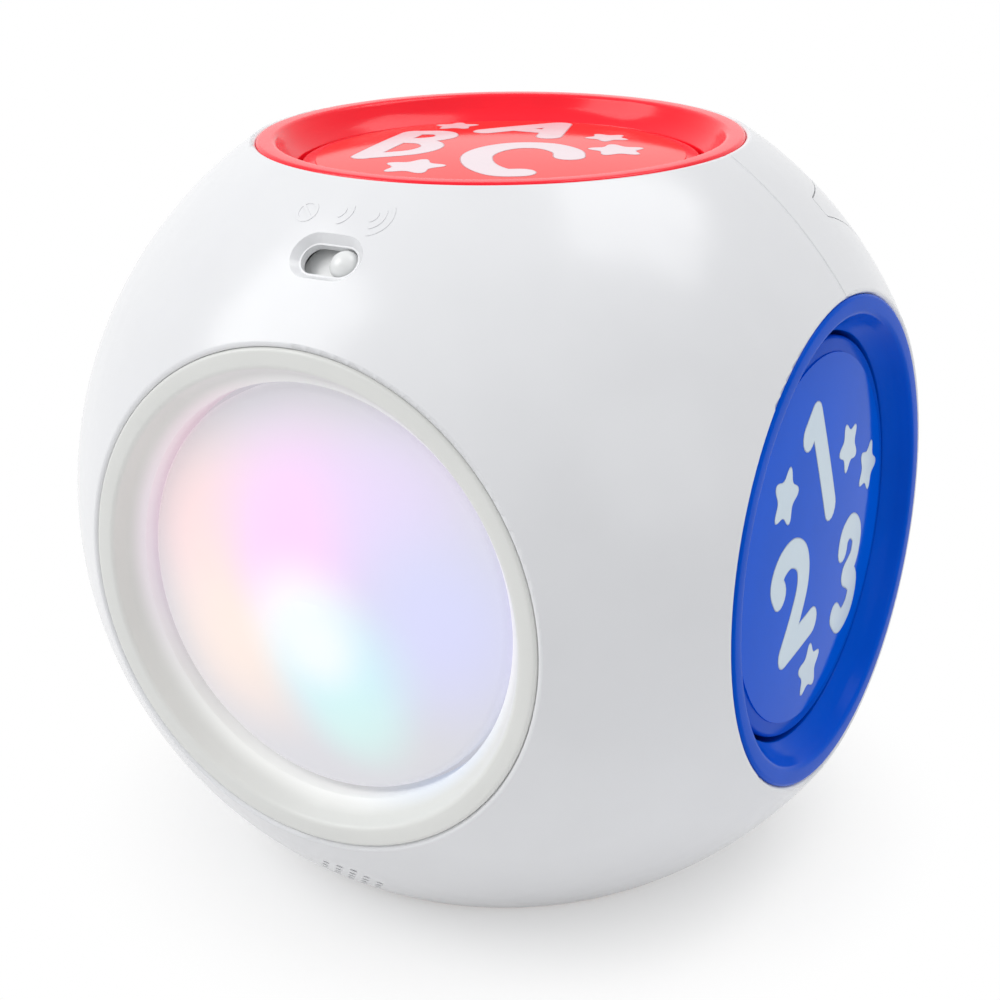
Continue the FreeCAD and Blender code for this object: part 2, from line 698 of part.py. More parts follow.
# ---------------------------------------------------------------- body shells
def hole_cutter():
    """Opening of one face, with the rounding of its edge."""
    corner = HOLE_RADIUS + HOLE_EDGE_ROUND
    corner_height = on_ball(BODY_RADIUS - HOLE_EDGE_ROUND, corner)
    centre = V(corner, 0, corner_height)
    touch = centre * (BODY_RADIUS / (BODY_RADIUS - HOLE_EDGE_ROUND))
    outward = (touch - centre).normalize()
    middle = centre + (outward + V(-1, 0, 0)).normalize() * HOLE_EDGE_ROUND
    beyond = touch + outward * 2
    return turned(
        (0, rim(RING_SKIRT_DEPTH + 5)),
        (HOLE_RADIUS, rim(RING_SKIRT_DEPTH + 5)),
        (HOLE_RADIUS, corner_height),
        ((middle.x, middle.z), (touch.x, touch.z)),
        (beyond.x, beyond.z),
        (beyond.x, BODY_RADIUS + 5),
        (0, BODY_RADIUS + 5),
    )


def collar_and_hooks():
    """Collar over the ring flange, and four hooks that hold the flange from below."""
    flange_top = rim(RING_SKIRT_DEPTH - FLANGE_THICK)
    flange_low = rim(RING_SKIRT_DEPTH)
    web = RING_RADIUS + FLANGE_WIDTH + HOOK_SIDE_GAP
    lip = RING_RADIUS + FLANGE_WIDTH - HOOK_GRIP
    low = flange_low - CLEARANCE - HOOK_THICK
    collar = tube(HOLE_RADIUS + COLLAR_WALL, HOLE_RADIUS, flange_top + CLEARANCE, BODY_RADIUS)
    pieces = [collar]
    for angle in HOOK_ANGLES:
        hook = turned(
            (lip, low),
            (web + HOOK_WALL, low),
            (web + HOOK_WALL, BODY_RADIUS),
            (web, BODY_RADIUS),
            (web, flange_low - CLEARANCE),
            (lip, flange_low - CLEARANCE),
            angle=HOOK_SPREAD,
        )
        hook.rotate(ORIGIN, UP, angle - HOOK_SPREAD / 2)
        pieces.append(hook)
    return [piece.common(ball(MID_WALL_RADIUS)) for piece in pieces]


def half_space(side):
    """Large block behind (+1) or in front of (-1) the parting plane."""
    size = 2 * BODY_RADIUS + 10
    start = PARTING_GAP if side > 0 else -PARTING_GAP - size
    return Part.makeBox(size, size, size, V(-size / 2, start, -size / 2))


def seam_groove():
    """V groove that runs round the ball along the parting plane."""
    outer = BODY_RADIUS + 1
    tip = BODY_RADIUS - SEAM_GROOVE
    spread = SEAM_GROOVE + 1
    groove = turned((tip, 0), (outer, spread), (outer, -spread))
    groove.rotate(ORIGIN, V(1, 0, 0), 90)
    return groove


def tongue(grow):
    """Band inside the outer wall on the back side of the parting plane."""
    outer = ball(INNER_RADIUS + TONGUE_THICK + grow)
    low = -PARTING_GAP - 1 if grow == 0 else -PARTING_GAP
    size = 2 * BODY_RADIUS
    slice_box = Part.makeBox(size, TONGUE_LENGTH + grow - low, size, V(-size / 2, low, -size / 2))
    band = outer.cut(ball(INNER_RADIUS - grow)).common(slice_box)
    clear = HOLE_RADIUS + COLLAR_WALL + TONGUE_GAP - grow
    for axis in (V(1, 0, 0), V(0, 0, 1)):
        band = band.cut(Part.makeCylinder(clear, size, axis * -BODY_RADIUS, axis))
    return band


def shell_half(side):
    """One body shell with its holes, collars, ring hooks and half of the seam."""
    body = ball(BODY_RADIUS).cut(ball(INNER_RADIUS)).common(half_space(side))
    inside = []
    for face in FACES:
        inside += [on_face(piece, face) for piece in collar_and_hooks()]
    inside = [piece.common(half_space(side)) for piece in inside]
    inside = [piece for piece in inside if piece.Volume > 1]
    body = body.multiFuse(inside)
    cutters = [on_face(hole_cutter(), face) for face in FACES]
    return body.cut(cutters + [seam_groove()])


def screw_corner_points():
    return [V(sx * SHELL_SCREW_OFFSET, 0, sz * SHELL_SCREW_OFFSET) for sx, sz in SHELL_SCREW_CORNERS]


def along_y(radius, start, end, at):
    return Part.makeCylinder(radius, end - start, V(at.x, start, at.z), V(0, 1, 0))


def front_shell():
    """Front half: tongue, screw bosses, switch and speaker seats, slot and grille."""
    pilot = SHELL_SCREW_RADIUS + SCREW_HOLE_GAP
    depth = SHELL_SCREW_LENGTH - SHELL_SCREW_SEAT + 1
    bosses = [along_y(pilot + BOSS_WALL, -BODY_RADIUS, -PARTING_GAP, at).common(ball(MID_WALL_RADIUS))
              for at in screw_corner_points()]
    pilots = [along_y(pilot, -depth, 1, at) for at in screw_corner_points()]
    keep_out = [on_face(rod(RING_RADIUS + FLANGE_WIDTH + HOOK_SIDE_GAP, 0, rim(0)), face)
                for face in ("front", "bottom", "top")]
    seats = [at_volume(piece) for piece in volume_seats()]
    speaker_ring = at_speaker(speaker_seat()).cut(keep_out)
    adds = [tongue(0)] + bosses + seats + speaker_ring.Solids + [clip_arm()]
    cuts = pilots + [at_volume(piece) for piece in volume_openings()]
    cuts += [at_speaker(piece) for piece in grille_holes() + speaker_pilots()]
    return shell_half(-1).multiFuse(adds).cut(cuts).removeSplitter()


def back_shell():
    """Back half: rebate for the tongue, screw bosses and the battery door tray."""
    hole = SHELL_SCREW_RADIUS + SCREW_HOLE_GAP
    bore = SHELL_HEAD_RADIUS + SHELL_HEAD_GAP
    bosses = [along_y(bore + BOSS_WALL, PARTING_GAP, BODY_RADIUS, at).common(ball(MID_WALL_RADIUS))
              for at in screw_corner_points()]
    holes = [along_y(hole, -1, BODY_RADIUS, at) for at in screw_corner_points()]
    bores = [along_y(bore, SHELL_SCREW_SEAT, BODY_RADIUS, at) for at in screw_corner_points()]
    tray = [at_corner(piece) for piece in tray_solids()]
    body = shell_half(1).cut(tongue(TONGUE_GAP)).multiFuse(bosses + tray + [clip_catch()])
    cuts = holes + bores + [at_corner(piece) for piece in tray_openings()]
    return body.cut(cuts).removeSplitter()


def shell_screws():
    """Three long screws that go in from the back and pull the halves together."""
    screws = []
    for at in screw_corner_points():
        piece = screw(SHELL_SCREW_RADIUS, SHELL_HEAD_RADIUS, SHELL_HEAD_HEIGHT,
                      SHELL_SCREW_LENGTH, ORIGIN, SHELL_SCREW_SEAT + CLEARANCE)
        piece.rotate(ORIGIN, V(1, 0, 0), -90)
        piece.translate(V(at.x, 0, at.z))
        screws.append(piece)
    return screws


# The fourth corner, beside the battery door, is held by a clip instead of a screw.
def clip_block(width, start, end, low, high):
    """Block on the edge between the right and top faces, measured outward and in Y."""
    block = Part.makeBox(width, end - start, high - low, V(-width / 2, start, low))
    block.rotate(ORIGIN, V(0, 1, 0), 45)
    return block


def clip_top():
    return tray_under_radius() - CLIP_DROP


def clip_arm():
    """Arm of the front shell that reaches behind the parting plane."""
    high = clip_top()
    low = high - CLIP_THICK
    arm = clip_block(CLIP_WIDTH, -CLIP_ROOT, CLIP_LENGTH, low, high)
    root = clip_block(CLIP_WIDTH, -CLIP_ROOT, -PARTING_GAP - 1, low, MID_WALL_RADIUS)
    window = clip_block(CLIP_WINDOW[0], CLIP_WINDOW_START, CLIP_WINDOW_START + CLIP_WINDOW[1],
                        low - 1, high + 1)
    return arm.fuse(root.common(ball(MID_WALL_RADIUS))).cut(window)


def clip_catch():
    """Catch of the back shell that stands in the window of the clip arm."""
    start = CLIP_WINDOW_START + CLIP_GAP
    end = CLIP_WINDOW_START + CLIP_WINDOW[1] - CLIP_GAP
    low = clip_top() - CLIP_THICK + CLIP_GAP
    block = clip_block(CLIP_WINDOW[0] - 2 * CLIP_GAP, start, end, low, MID_WALL_RADIUS)
    return block.common(ball(MID_WALL_RADIUS))


# ---------------------------------------------------------------- volume switch
def shutter_top():
    """The flat shutter clears the inside of the ball at its far corners."""
    half_length = SLOT_LENGTH / 2 + SHUTTER_LAP + VOLUME_TRAVEL
    corner = math.hypot(half_length + VOLUME_CENTRE, SHUTTER_WIDTH / 2)
    return on_ball(INNER_RADIUS, corner) - SHUTTER_GAP


def switch_plate_top():
    return shutter_top() - SHUTTER_THICK - SWITCH_DROP


def switch_screw_points():
    return [V(VOLUME_CENTRE + side * SWITCH_SCREW_OFFSET, 0, 0) for side in (-1, 1)]


def volume_seats():
    """Screw bosses for the switch, and two rails that guide the shutter."""
    low = switch_plate_top() + CLEARANCE
    pieces = [rod(SWITCH_BOSS_RADIUS, low, BODY_RADIUS, at) for at in switch_screw_points()]
    rail_length = 2 * (SWITCH_SCREW_OFFSET - SWITCH_BOSS_RADIUS - 1)
    for side in (-1, 1):
        at = V(VOLUME_CENTRE, side * (SHUTTER_WIDTH / 2 + LEVER_GAP + RAIL_THICK / 2), 0)
        pieces.append(slab(rail_length, RAIL_THICK, shutter_top() - SHUTTER_THICK, BODY_RADIUS, at))
    return [piece.common(ball(MID_WALL_RADIUS)) for piece in pieces]


def volume_openings():
    """Slot, dished recess round it, and the pilot holes of the switch screws."""
    at = V(VOLUME_CENTRE, 0, 0)
    floor = BODY_RADIUS - DISH_DEPTH
    top = BODY_RADIUS + DISH_OVERSHOOT
    slot = Part.Face(stadium(SLOT_LENGTH, SLOT_WIDTH, INNER_RADIUS - 3, at)).extrude(V(0, 0, 10))
    wide = 2 * (DISH_MARGIN + DISH_SLOPE * (top - floor))
    dish = Part.makeLoft([
        stadium(SLOT_LENGTH + 2 * DISH_MARGIN, SLOT_WIDTH + 2 * DISH_MARGIN, floor, at),
        stadium(SLOT_LENGTH + wide, SLOT_WIDTH + wide, top, at),
    ], True)
    low = switch_plate_top()
    pilots = [rod(SWITCH_SCREW_RADIUS + SCREW_HOLE_GAP, low, low + SWITCH_PILOT_DEPTH, at)
              for at in switch_screw_points()]
    return [slot, dish] + pilots


def volume_knob():
    """Round knob on a shutter plate that closes the slot from inside."""
    at = V(VOLUME_CENTRE + VOLUME_TRAVEL / 2, 0, 0)
    top = BODY_RADIUS - KNOB_TOP_DROP
    knob = round_rim_of(rod(KNOB_RADIUS, shutter_top() - SHUTTER_THICK, top, at), KNOB_ROUND)
    half_length = SLOT_LENGTH / 2 + SHUTTER_LAP + VOLUME_TRAVEL / 2
    plate = slab(2 * half_length, SHUTTER_WIDTH, shutter_top() - SHUTTER_THICK, shutter_top(), at)
    return joined([plate, knob])


def volume_switch_body():
    """Slide switch: case, face plate with two ears, and the slot for its lever."""
    length, width, height = SWITCH_BODY
    top = switch_plate_top()
    at = V(VOLUME_CENTRE, 0, 0)
    case = slab(length, width, top - SWITCH_PLATE_THICK - height, top - SWITCH_PLATE_THICK, at)
    ear_reach = 2 * (SWITCH_SCREW_OFFSET + SWITCH_BOSS_RADIUS)
    plate = slab(ear_reach, width, top - SWITCH_PLATE_THICK, top, at)
    slot_length = VOLUME_TRAVEL + LEVER_WIDTH + 2 * LEVER_GAP
    slot = slab(slot_length, LEVER_WIDTH + 2 * LEVER_GAP, top - height + 1, top + 1, at)
    holes = [rod(SWITCH_SCREW_RADIUS + SCREW_HOLE_GAP, top - 5, top + 1, point)
             for point in switch_screw_points()]
    return joined([case, plate]).cut([slot] + holes)


def volume_switch_lever():
    at = V(VOLUME_CENTRE + VOLUME_TRAVEL / 2, 0, 0)
    low = switch_plate_top() - SWITCH_BODY[2] + 1 + LEVER_FLOOR_GAP
    return slab(LEVER_WIDTH, LEVER_WIDTH, low, shutter_top() - SHUTTER_THICK - CLEARANCE, at)


def volume_switch_screws():
    seat = switch_plate_top() - SWITCH_PLATE_THICK - CLEARANCE / 2
    screws = []
    for at in switch_screw_points():
        piece = flipped(screw(SWITCH_SCREW_RADIUS, SWITCH_SCREW_HEAD, SMALL_HEAD_HEIGHT,
                              SWITCH_SCREW_LENGTH, ORIGIN, seat), seat)
        piece.translate(at)
        screws.append(piece)
    return screws


# ---------------------------------------------------------------- speaker
def speaker_front():
    return BODY_RADIUS - SPEAKER_DROP


def speaker_screw_points():
    return [V(side * SPEAKER_SCREW_OFFSET, 0, 0) for side in (-1, 1)]


def speaker_seat():
    """Tube that the speaker flange seats on, with two screw bosses beside it."""
    low = speaker_front() + CLEARANCE
    seat = tube(SPEAKER_RADIUS, SPEAKER_SEAT_BORE, low, BODY_RADIUS)
    boss_low = low - SPEAKER_FLANGE_THICK
    bosses = [rod(SWITCH_BOSS_RADIUS, boss_low, BODY_RADIUS, at) for at in speaker_screw_points()]
    return joined([seat] + bosses).common(ball(MID_WALL_RADIUS))


def speaker_pilots():
    low = speaker_front() - SPEAKER_FLANGE_THICK
    return [rod(SWITCH_SCREW_RADIUS + SCREW_HOLE_GAP, low - 1, low + SPEAKER_SCREW_LENGTH + 1, at)
            for at in speaker_screw_points()]


def speaker_screws():
    """Wide-headed screws whose heads hold the edge of the speaker flange."""
    seat = speaker_front() - SPEAKER_FLANGE_THICK - CLEARANCE / 2
    screws = []
    for at in speaker_screw_points():
        piece = flipped(screw(SWITCH_SCREW_RADIUS, SPEAKER_SCREW_HEAD, SMALL_HEAD_HEIGHT,
                              SPEAKER_SCREW_LENGTH, ORIGIN, seat), seat)
        piece.translate(at)
        screws.append(piece)
    return screws


def grille_points():
    """Hexagonal pattern of sound holes."""
    points = [V(0, 0, 0)]
    for number in range(1, GRILLE_RINGS + 1):
        corners = [polar(GRILLE_PITCH * number, 60 * side) for side in range(7)]
        for start, end in zip(corners, corners[1:]):
            points += [start + (end - start) * (step / number) for step in range(number)]
    return points


def grille_holes():
    return [rod(GRILLE_HOLE_RADIUS, INNER_RADIUS - 3, BODY_RADIUS + 1, at) for at in grille_points()]


def basket_back():
    return speaker_front() - SPEAKER_FLANGE_THICK - SPEAKER_BASKET_DEPTH


def speaker_frame():
    """Stamped basket: flange and a cone that narrows to the magnet."""
    front = speaker_front()
    back = basket_back()
    shoulder = front - SPEAKER_FLANGE_THICK
    vent = SPEAKER_MAGNET_RADIUS / 2
    return turned(
        (SPEAKER_RADIUS, front),
        (SPEAKER_RADIUS, shoulder),
        (SPEAKER_SEAT_BORE + BASKET_WALL, shoulder),
        (SPEAKER_BASKET_RADIUS, back),
        (vent, back),
        (vent, back + BASKET_WALL),
        (SPEAKER_BASKET_RADIUS - BASKET_WALL, back + BASKET_WALL),
        (SPEAKER_SEAT_BORE - BASKET_WALL, front),
    )


def speaker_cone():
    """Paper cone round a small flat dust cap."""
    front = speaker_front() - CONE_FRONT_DROP
    deep = front - CONE_DEPTH
    outer = SPEAKER_SEAT_BORE - CONE_EDGE_SETBACK
    return turned(
        (0, deep + CONE_THICK),
        (DUST_CAP_RADIUS, deep + CONE_THICK),
        (outer - 1, front),
        (outer, front),
        (outer, front - CONE_THICK),
        (outer - 1, front - CONE_THICK),
        (DUST_CAP_RADIUS, deep),
        (0, deep),
    )


def speaker_magnet():
    high = basket_back() - CLEARANCE / 2
    return rod(SPEAKER_MAGNET_RADIUS, high - SPEAKER_MAGNET_HEIGHT, high)


# ---------------------------------------------------------------- battery corner
def three_tip_wire(tip, tip_half, waist, height):
    """Three blunt tips joined by hollow arcs."""
    edges = []
    for number in range(3):
        angle = 120 * number
        tip_angle = math.degrees(math.atan2(tip_half, tip))
        reach = math.hypot(tip, tip_half)
        start = polar(reach, angle - tip_angle, height)
        end = polar(reach, angle + tip_angle, height)
        next_start = polar(reach, angle + 120 - tip_angle, height)
        edges.append(Part.LineSegment(start, end).toShape())
        edges.append(Part.Arc(end, polar(waist, angle + 60, height), next_start).toShape())
    return Part.Wire(edges)


def three_tip_block(tip, tip_half, waist, corner_round=0.0):
    block = Part.Face(three_tip_wire(tip, tip_half, waist, FACE_REACH / 2)).extrude(V(0, 0, BODY_RADIUS))
    if corner_round > 0:
        upright = [edge for edge in block.Edges if edge.BoundBox.ZLength > BODY_RADIUS / 2]
        block = block.makeFillet(corner_round, upright)
    return block


def door_block(grow):
    return three_tip_block(DOOR_TIP + grow, DOOR_TIP_HALF + grow, DOOR_WAIST + grow, DOOR_TIP_ROUND + grow)


def ball_layer(outer, inner):
    return ball(outer).cut(ball(inner))


def cell_points():
    return [polar(CELL_CIRCLE, 120 * number) for number in range(3)]


def lobes(radius, low, high):
    """Three touching round bores and the space between them."""
    rods = [rod(radius, low, high, at) for at in cell_points()]
    return joined(rods + [rod(CELL_CIRCLE, low, high)])


def door_screw_at():
    return polar(DOOR_SCREW_CIRCLE, 120)


def box_screw_points():
    return [polar(BOX_SCREW_CIRCLE, angle) for angle in (0, 240)]


def recess_radius():
    """Ball radius of the tray floor that the door lies on."""
    return BODY_RADIUS - DOOR_THICK - DOOR_SEAT_GAP


def tray_under_radius():
    return recess_radius() - TRAY_FLOOR


def door_screw_seat():
    return on_ball(BODY_RADIUS, DOOR_SCREW_CIRCLE) - DOOR_HEAD_DEPTH - SCREW_HEAD_HEIGHT


def door_boss_low():
    return on_ball(BODY_RADIUS - DOOR_THICK, DOOR_SCREW_CIRCLE) - DOOR_BOSS_DROP


def tray_boss_low():
    return door_screw_seat() - DOOR_SCREW_LENGTH - PILOT_SPARE - PILOT_FLOOR


def tray_boss_radius():
    return DOOR_BOSS_RADIUS + DOOR_GAP + TRAY_BOSS_WALL


def box_screw_seat():
    """Head seat deep enough for the head to stay under the sloping tray floor."""
    outer = BOX_SCREW_CIRCLE + SCREW_HEAD_RADIUS
    return on_ball(recess_radius(), outer) - SCREW_HEAD_HEIGHT - 2 * CLEARANCE


def tray_solids():
    """Sunk floor under the door, and the boss of the door screw."""
    grow = DOOR_GAP + TRAY_WALL
    floor = door_block(grow).common(ball_layer(MID_WALL_RADIUS, tray_under_radius()))
    boss = rod(tray_boss_radius(), tray_boss_low(), BODY_RADIUS, door_screw_at())
    return [floor, boss.common(ball(MID_WALL_RADIUS))]


def tray_openings():
    """Door recess, cell opening, and the holes of the door and box screws."""
    recess = door_block(DOOR_GAP).common(ball_layer(BODY_RADIUS + 1, recess_radius()))
    mouth = lobes(CELL_RADIUS + CELL_GAP, FACE_REACH / 2, BODY_RADIUS)
    pocket = rod(DOOR_BOSS_RADIUS + DOOR_GAP, door_boss_low() - 2 * CLEARANCE, BODY_RADIUS, door_screw_at())
    pilot = rod(SCREW_RADIUS + SCREW_HOLE_GAP, door_screw_seat() - DOOR_SCREW_LENGTH - PILOT_SPARE,
                BODY_RADIUS, door_screw_at())
    cuts = [recess, mouth, pocket, pilot]
    for at in box_screw_points():
        cuts.append(rod(SCREW_HEAD_RADIUS + 2 * CLEARANCE, box_screw_seat(), BODY_RADIUS, at))
        cuts.append(rod(SCREW_RADIUS + SCREW_HOLE_GAP, FACE_REACH / 2, BODY_RADIUS, at))
    return cuts


def battery_door():
    """Three-tipped door, flush with the ball, with its screw boss and contact pegs."""
    inner = BODY_RADIUS - DOOR_THICK
    panel = door_block(0).common(ball_layer(BODY_RADIUS, inner))
    boss = rod(DOOR_BOSS_RADIUS, door_boss_low(), BODY_RADIUS, door_screw_at())
    boss = boss.common(ball(inner + 1)).common(door_block(0))
    pegs = [rod(DOOR_PEG_RADIUS, door_contact_top() + CLEARANCE / 2, BODY_RADIUS, at).common(ball(inner + 1))
            for at in cell_points()]
    door = joined([panel, boss] + pegs)
    bore = rod(SCREW_HEAD_RADIUS + 2 * CLEARANCE, door_screw_seat(), BODY_RADIUS + 1, door_screw_at())
    hole = rod(SCREW_RADIUS + SCREW_HOLE_GAP, FACE_REACH / 2, BODY_RADIUS, door_screw_at())
    return door.cut([bore, hole])


def battery_door_screw():
    return screw(SCREW_RADIUS, SCREW_HEAD_RADIUS, SCREW_HEAD_HEIGHT, DOOR_SCREW_LENGTH,
                 door_screw_at(), door_screw_seat() + CLEARANCE / 2)


def door_contact_top():
    return cell_low() + CELL_LENGTH + CLEARANCE + CONTACT_THICK


def door_contact_plate():
    """Plate on the inside of the door that joins the upper ends of the cells."""
    top = door_contact_top()
    return lobes(CELL_NUB_RADIUS + CONTACT_MARGIN, top - CONTACT_THICK, top)


def box_top_limit():
    return tray_under_radius() - CLEARANCE / 2


def box_floor():
    """Inside floor of the battery box: the cells then end just under the door."""
    door_underside = on_ball(BODY_RADIUS - DOOR_THICK, CELL_CIRCLE + CELL_NUB_RADIUS)
    cell_top = door_underside - CONTACT_THICK - 3 * CLEARANCE - CELL_END_GAP
    return cell_top - CELL_LENGTH - BOX_SPRING_HEIGHT


def cell_low():
    return box_floor() + BOX_SPRING_HEIGHT


def battery_box():
    """Three-lobed box for the cells, with a flange screwed up under the tray."""
    flange = three_tip_block(BOX_FLANGE_TIP, BOX_FLANGE_TIP_HALF, BOX_FLANGE_WAIST)
    flange = flange.common(ball_layer(box_top_limit(), box_top_limit() - BOX_FLANGE_THICK))
    bore = CELL_RADIUS + CELL_GAP
    outside = lobes(bore + BOX_WALL, box_floor() - BOX_WALL, BODY_RADIUS).common(ball(box_top_limit()))
    boss_low = box_screw_seat() - BOX_SCREW_LENGTH - PILOT_SPARE - PILOT_FLOOR
    bosses = [rod(SCREW_RADIUS + BOX_BOSS_WALL, boss_low, BODY_RADIUS, at)
              for at in box_screw_points()]
    bosses = [boss.common(ball(box_top_limit())) for boss in bosses]
    inside = lobes(bore, box_floor(), BODY_RADIUS)
    pilots = [rod(SCREW_RADIUS + SCREW_HOLE_GAP, box_screw_seat() - BOX_SCREW_LENGTH - PILOT_SPARE,
                  BODY_RADIUS, at) for at in box_screw_points()]
    boss_room = rod(tray_boss_radius() + 3 * CLEARANCE, FACE_REACH / 2, BODY_RADIUS, door_screw_at())
    return joined([outside, flange] + bosses).cut([inside, boss_room] + pilots)


def battery_box_screws():
    return [screw(SCREW_RADIUS, SCREW_HEAD_RADIUS, SCREW_HEAD_HEIGHT - CLEARANCE, BOX_SCREW_LENGTH,
                  at, box_screw_seat() + CLEARANCE / 2) for at in box_screw_points()]


def battery_cells():
    cells = []
    for at in cell_points():
        low = cell_low()
        shoulder = low + CELL_LENGTH - CELL_NUB_HEIGHT
        can = round_rim_of(rod(CELL_RADIUS, low, shoulder, at), CELL_EDGE_ROUND)
        nub = rod(CELL_NUB_RADIUS, shoulder - CLEARANCE, low + CELL_LENGTH, at)
        cells.append(can.fuse(nub).removeSplitter())
    return cells


def battery_contacts():
    """Stamped plates on the floor of the battery box."""
    low = box_floor() + CLEARANCE / 2
    return [rod(CELL_RADIUS - CONTACT_MARGIN, low, low + CONTACT_THICK, at) for at in cell_points()]


def battery_springs():
    low = box_floor() + CONTACT_THICK + CLEARANCE
    high = cell_low() - CLEARANCE / 2
    springs = []
    for at in cell_points():
        piece = coil(CELL_SPRING_RADIUS, CELL_SPRING_PITCH, low, high)
        piece.translate(V(at.x, at.y, 0))
        springs.append(piece)
    return springs


# ---------------------------------------------------------------- wiring
def turned_point(point, across, up):
    """A point of a local frame, placed about the ball centre."""
    return across * point.x + up * point.y + across.cross(up) * point.z


def socket_pin(name, across=0.0, up=0.0):
    """Point on the top of a main board socket, offset from its middle."""
    centre_across, centre_up, length = SOCKETS[name]
    height = board_back() - SOCKET_HEIGHT - CLEARANCE / 2
    return turned_point(V(centre_across + across, centre_up + up, height), *FACES["front"])


def into_socket(points, pin):
    """Lead through these points that ends straight into a socket."""
    return lead(points + [pin + V(0, LEAD_EXIT, 0), pin])


def key_lead(face, pin):
    """Lead from the edge of a key board, through the carrier, to the main board."""
    level = rim(KEY_BOARD_DEPTH) - BOARD_THICK / 2
    hole = wire_hole_at()
    route = [
        V(0, -KEY_BOARD_SIZE[1] / 2 - CLEARANCE / 2, level),
        V(hole.x, hole.y, level),
        V(hole.x, hole.y, rim(CARRIER_DEPTH + LEAD_DROP)),
    ]
    return into_socket([turned_point(point, *FACES[face]) for point in route], pin)


def key_leads():
    ends = {
        "left": socket_pin("keys", -LEAD_PITCH * 1.25),
        "back": socket_pin("keys"),
        "bottom": socket_pin("keys", LEAD_PITCH * 1.25),
        "right": socket_pin("side_key"),
        "top": socket_pin("power", 0, -LEAD_ROW),
    }
    return [key_lead(face, pin) for face, pin in ends.items()]


def battery_lead(side):
    """Lead from under the battery box to the power socket."""
    low = box_floor() - BOX_WALL - CLEARANCE / 2
    route = [V(side * LEAD_PITCH, 0, low), V(side * LEAD_PITCH, 0, low - LEAD_EXIT)]
    points = [turned_point(point, CORNER_ACROSS, CORNER_UP) for point in route]
    return into_socket(points, socket_pin("power", side * LEAD_PITCH, -LEAD_ROW))


def speaker_leads():
    """Two leads from the edge of the basket, past the magnet, to the main board."""
    across = (SPEAKER_MAGNET_RADIUS + SPEAKER_BASKET_RADIUS) / 2 + 2 * CLEARANCE
    low = basket_back() - CLEARANCE / 2
    leads = []
    for side in (-1, 1):
        route = [V(side * across, 0, low), V(side * across, 0, low - LEAD_EXIT)]
        points = [turned_point(point, SPEAKER_ACROSS, SPEAKER_UP) for point in route]
        leads.append(into_socket(points, socket_pin("speaker", side * LEAD_PITCH / 2)))
    return leads


def volume_leads():
    """Two leads from the underside of the volume switch to the main board."""
    low = switch_plate_top() - SWITCH_PLATE_THICK - SWITCH_BODY[2] - CLEARANCE / 2
    leads = []
    for side in (-1, 1):
        at = VOLUME_CENTRE + side * LEAD_PITCH
        route = [V(at, 0, low), V(at, 0, low - LEAD_EXIT)]
        points = [turned_point(point, VOLUME_ACROSS, VOLUME_UP) for point in route]
        leads.append(into_socket(points, socket_pin("volume", side * LEAD_PITCH / 2)))
    return leads


def led_leads():
    """Two straight leads from the lamp board through its carrier to the main board."""
    low = main_board_top() + CLEARANCE / 2
    high = rim(KEY_BOARD_DEPTH) - BOARD_THICK - CLEARANCE / 2
    hole = wire_hole_at()
    return [rod(LEAD_RADIUS, low, high, V(side * LEAD_PITCH / 2, hole.y, 0)) for side in (-1, 1)]


# ---------------------------------------------------------------- the whole cube
def screws_of_faces():
    return [on_face(piece, face) for face in FACES for piece in carrier_screws()]


def build():
    """Every named piece, about the ball centre: node name and its list of solids."""
    nodes = {
        "front_shell": [front_shell()],
        "back_shell": [back_shell()],
        "shell_screws": shell_screws(),
        "battery_door": [at_corner(battery_door())],
        "battery_door_screw": [at_corner(battery_door_screw())],
        "door_contact_plate": [at_corner(door_contact_plate())],
        "battery_box": [at_corner(battery_box())],
        "battery_box_screws": [at_corner(piece) for piece in battery_box_screws()],
        "battery_cells": [at_corner(piece) for piece in battery_cells()],
        "battery_contacts": [at_corner(piece) for piece in battery_contacts()],
        "battery_springs": [at_corner(piece) for piece in battery_springs()],
        "volume_knob": [at_volume(volume_knob())],
        "volume_switch_lever": [at_volume(volume_switch_lever())],
        "volume_switch_body": [at_volume(volume_switch_body())],
        "volume_switch_screws": [at_volume(piece) for piece in volume_switch_screws()],
        "speaker_frame": [at_speaker(speaker_frame())],
        "speaker_cone": [at_speaker(speaker_cone())],
        "speaker_magnet": [at_speaker(speaker_magnet())],
        "speaker_screws": [at_speaker(piece) for piece in speaker_screws()],
        "led_board": [on_face(led_board(), "front")],
        "leds": [on_face(piece, "front") for piece in leds()],
        "main_board": [on_face(main_board(), "front")],
        "main_board_parts": [on_face(piece, "front") for piece in main_board_parts()],
        "board_screws": [on_face(piece, "front") for piece in board_screws()],
        "carrier_front": [on_face(front_carrier(), "front")],
        "light_dome": [on_face(cap(DOME_CROWN_DEPTH, DOME_CROWN_RISE), "front")],
        "carrier_screws": screws_of_faces(),
        "cap_springs": [on_face(piece, face) for face in FACES for piece in cap_springs()],
        "contact_pads": [on_face(contact_pad(), face) for face in FACES],
        "key_boards": [on_face(key_board(), face) for face in BUTTON_FACES],
        "key_leads": key_leads(),
        "battery_lead_red": [battery_lead(1)],
        "battery_lead_black": [battery_lead(-1)],
        "speaker_leads": speaker_leads(),
        "volume_leads": volume_leads(),
        "led_leads": [on_face(piece, "front") for piece in led_leads()],
    }
    for face in FACES:
        nodes["ring_" + face] = [on_face(ring(), face)]
    for face in BUTTON_FACES:
        nodes["carrier_" + face] = [on_face(carrier(), face)]
        nodes["button_" + face] = [on_face(cap(CAP_CROWN_DEPTH, CAP_CROWN_RISE), face)]
        nodes["label_" + face] = [on_face(label(), face)]
    return nodes


def solids_of(shape):
    return shape.Solids if shape.Solids else [Part.Solid(shape)]


